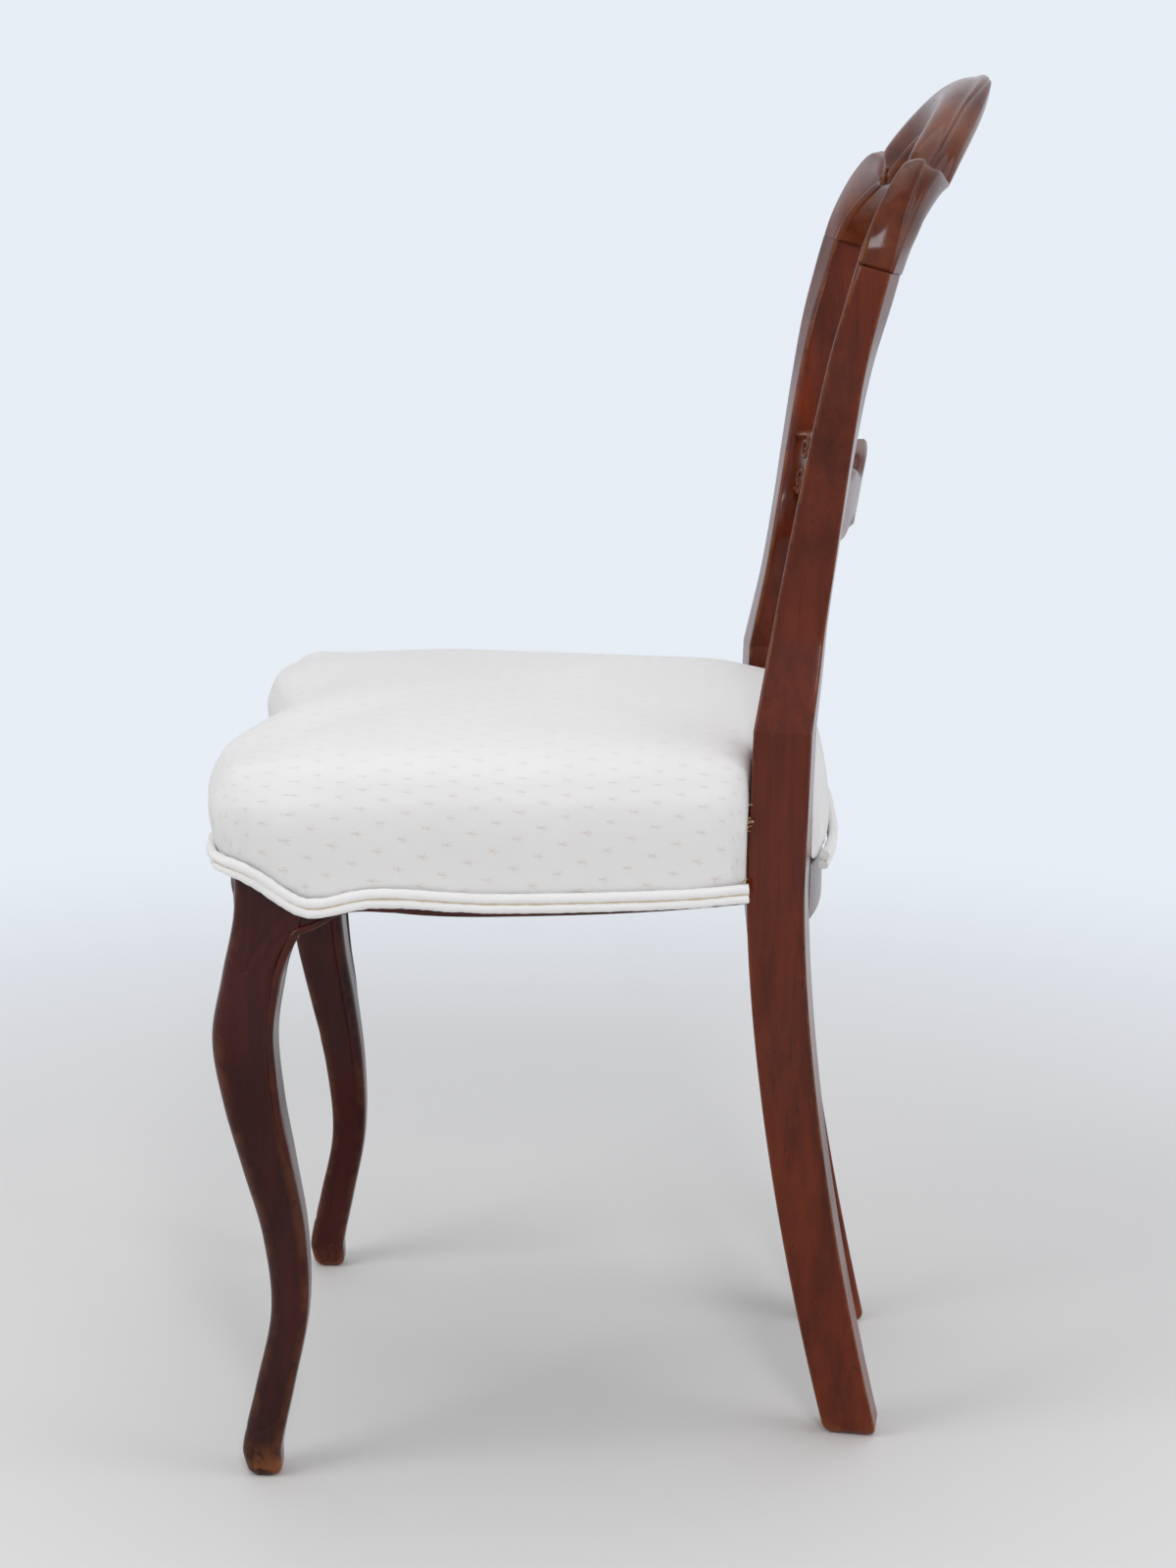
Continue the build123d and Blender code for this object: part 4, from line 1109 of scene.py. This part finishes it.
def front_leg(name, node, material, mirrored):
    heights = [0.0, 0.0015, 0.004, 0.007, 0.011] + [0.016 + 0.0016 * k for k in range(32)]
    heights += [0.070 + 0.0035 * k for k in range(52)] + [0.252 + 0.0016 * k for k in range(116)]
    rings = []
    for height in heights:
        cx, cy, size, outer_edge, edge = row_at(LEG_ROWS, height)
        sole = 0.0035 * max(0.0, 1 - height / 0.004) ** 2
        flare = 0.0065 * clamped((height - 0.340) / 0.032) ** 2
        ring = []
        for a, b, arris in rounded_loop(size, size, (outer_edge, edge, edge, edge), (30, 8, 8, 30)):
            x, y = cx - size / 2 + a, cy - size / 2 + b
            y += flare * smoothstep(0.5, 1.0, b / size)
            inward = Vector((cx - x, cy - y, 0)).normalized() * sole
            if a > size - SKIN:
                x -= carving(b, height)
            elif b < SKIN:
                y += carving(size - a, height)
            ring.append((Vector((x, y, height)) + inward,
                         arris * 0.35 + 0.7 * (1 - smoothstep(0.0, 0.02, height))))
        rings.append(ring)
    rigid(lofted(name, rings, material, mirrored), node)


def bead_path(rail, samples=150):
    """Line of the bead along the lower edge of the left side rail, or of the front rail."""
    if rail == "side":
        edge = metres([(94, 388.8), (40, 384.5), (-50, 383), (-121, 386.5), (-155, 387), (-175.4, 376.8),
            (-186, 372.2)])
        slope = (0.207 - 0.169) / (0.096 + 0.178)
        line = [(0.169 + slope * (0.096 - y) - 0.0010, y, z + 0.0026) for y, z in edge]
        line += metres([(207.8, -192.5, 362), (208, -197.2, 349), (208, -200.5, 332), (207.2, -203.3, 308),
                        (205.2, -202.2, 283), (202, -199.2, 250), (197.5, -195.2, 225), (190, -192, 198)])
    else:
        line = metres([(166, -224.4, 381.6), (157, -229.4, 385.5), (137, -233.4, 394.6),
                       (62, -217.4, 396.6), (0, -207.4, 391.6)])
        line += [(-x, y, z) for x, y, z in reversed(line[:-1])]
    return evenly(curve_through(line, 12), samples)


# ---- build
camera()
wood_stile = mahogany("stile_mahogany", 2, (0.185, 0.027, 0.005), (0.066, 0.009, 0.002))
wood_crest = mahogany("crest_mahogany", 0, (0.180, 0.037, 0.007), (0.060, 0.009, 0.003), 0.9)
wood_rail = mahogany("rail_mahogany", 0, (0.100, 0.014, 0.004), (0.036, 0.005, 0.002), 0.7)
wood_side = mahogany("side_rail_mahogany", 1, (0.100, 0.014, 0.004), (0.036, 0.005, 0.002), 0.7)
# the legs' mahogany is made much darker than the stile's, as painted shade of the legs standing in shadow
# under the seat
shaded_leg_wood = mahogany("leg_mahogany", 2, (0.068, 0.007, 0.003), (0.019, 0.0025, 0.0015), 0.7, toe=True)
beech = plain_wood("beech", (0.56, 0.40, 0.24), (0.42, 0.28, 0.15), 0)
jute = plain_cloth("jute_webbing", (0.58, 0.48, 0.32), 0.003, 0.0006)
sacking = plain_cloth("hessian_cloth", (0.5, 0.38, 0.22), 0.0022, 0.0005)
iron = steel("screw_steel")
fabric = ivory_cloth("ivory_damask")
piping = ivory_cloth("ivory_piping", figured=False)
thread = loose_thread("loose_thread")

for material, names in (
        (wood_rail, "front_seat_rail rear_seat_rail"),
        (wood_side, "side_seat_rail_left side_seat_rail_right"),
        (beech, "corner_block_front_left corner_block_front_right corner_block_rear_left"),
        (beech, "corner_block_rear_right rail_dowels mid_rail_dowels crest_dowels"),
        (iron, "corner_block_screws"), (jute, "webbing_lengthwise webbing_crosswise"), (sacking, "hessian")):
    for name in names.split():
        for slot in nodes[name].material_slots:
            slot.material = material

for side, flipped in (("left", False), ("right", True)):
    back_stile("stile_" + side, "back_stile_" + side, wood_stile, flipped)
    front_leg("cabriole_leg_" + side, "front_leg_" + side, shaded_leg_wood, flipped)
crest_rail(wood_crest)
mid_rail(wood_crest)
seat_cushion(fabric)

CORD, SEAM_AND_SHADE = 0.0032, 0.0012                 # radii of a welt cord and of the tan seam between the two, whose tan stands for the stitching and for painted shade in the groove
cord = cord_tree(piping)
for names, lift, stand, settings in (
        (("welt_cord_upper", "welt_rear_upper"), CORD, CORD + 0.0004,
         {"Radius": CORD, "Pucker": 0.0016, "Seed": 3}),
        (("welt_cord_lower", "welt_rear_lower"), 3 * CORD - 0.0002, CORD + 0.0004,
         {"Radius": CORD, "Pucker": 0.0016, "Seed": 4}),
        # the seam's tan stands for the stitching and for painted shade in the groove between the cords
        (("welt_seam_and_shade", "welt_seam_and_shade_rear"), 2 * CORD - 0.0001, CORD + 0.0011,
         {"Radius": SEAM_AND_SHADE, "Sides": 8, "Pucker": 0.0009, "TanSeamAndShade": 1.0, "Seed": 8})):
    for name, behind, node in zip(names, (False, True), ("double_welt", "double_welt_rear")):
        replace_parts(grown_along(name, welt_path(lift, stand, behind), cord, settings), node)

bead = cord_tree(wood_side)
for name, line in (("side_bead_left", bead_path("side")), ("front_bead", bead_path("front", 120)),
                   ("side_bead_right", [Vector((-p.x, p.y, p.z)) for p in bead_path("side")])):
    grown_along(name, line, bead, {"Radius": 0.0026, "Sides": 12})

fray = thread_tree(thread)
for side, label in ((1, "left"), (-1, "right")):
    for name, ends, settings, slot in (
            ("frayed_edge_", ((0.1735, 0.0950, 0.452), (0.1740, 0.0953, 0.436)),
             {"Count": 20, "Seed": 5 + side}, "seat_fabric"),
            ("frayed_welt_", ((0.1745, 0.0945, 0.404), (0.1745, 0.0948, 0.393)),
             {"Count": 16, "Length": 0.0032, "Seed": 9 + side}, "welt_cord")):
        grown_along(name + label, [Vector((side * x, y, z)) for x, y, z in ends], fray, settings)

# ---- floor and light
floor_paint = Shader("floor_paint")
floor_paint.look(Base_Color=(0.80, 0.79, 0.78, 1), Roughness=0.6)
across, along, _ = floor_paint.object_coords().parts()
reach = ((across + 0.15) * (across + 0.15) + (along + 0.05) * (along + 0.05)).power(0.5)
pale = floor_paint.node("ShaderNodeEmission", {"Color": PALE_ROOM, "Strength": 1.0})
both = floor_paint.shown(pale, Field(floor_paint.tree, floor_paint.bsdf.outputs[0]), reach.ramp(0.45, 1.5))
put(floor_paint.tree, both, floor_paint.tree.nodes["Material Output"].inputs["Surface"])
corners = [(-9, -9, 0), (9, -9, 0), (9, 9, 0), (-9, 9, 0)]
new_mesh("floor", corners, [(0, 1, 2, 3)], floor_paint.material)
scene.world = bpy.data.worlds.new("world")
scene.world.use_nodes = True
sky = Nodes(scene.world.node_tree)
sky.tree.nodes.remove(sky.tree.nodes["Background"])
soft, plain = (sky.node("ShaderNodeBackground", {"Color": colour, "Strength": strength})
               for colour, strength in (((0.93, 0.96, 1.0, 1), 0.40), (PALE_ROOM, 1.0)))
put(sky.tree, sky.shown(plain, soft), sky.tree.nodes["World Output"].inputs["Surface"])
area_light("window", (1.3, -2.3, 2.1), (0, 0, 0.5), (1.6, 1.6), 26, (1.0, 0.985, 0.98))
area_light("pane", (2.45, 0.33, 2.11), (0.21, 0.166, 0.806), (0.4, 0.8), 16, (1.0, 0.98, 1.0))
area_light("rear_window", (0.7, 2.8, 1.3), (0.1, 0.2, 0.7), (1.8, 1.8), 22, (0.97, 0.97, 1.0))
area_light("ceiling", (-0.2, 0.0, 3.2), (0, 0, 0.4), (2.6, 2.6), 25)
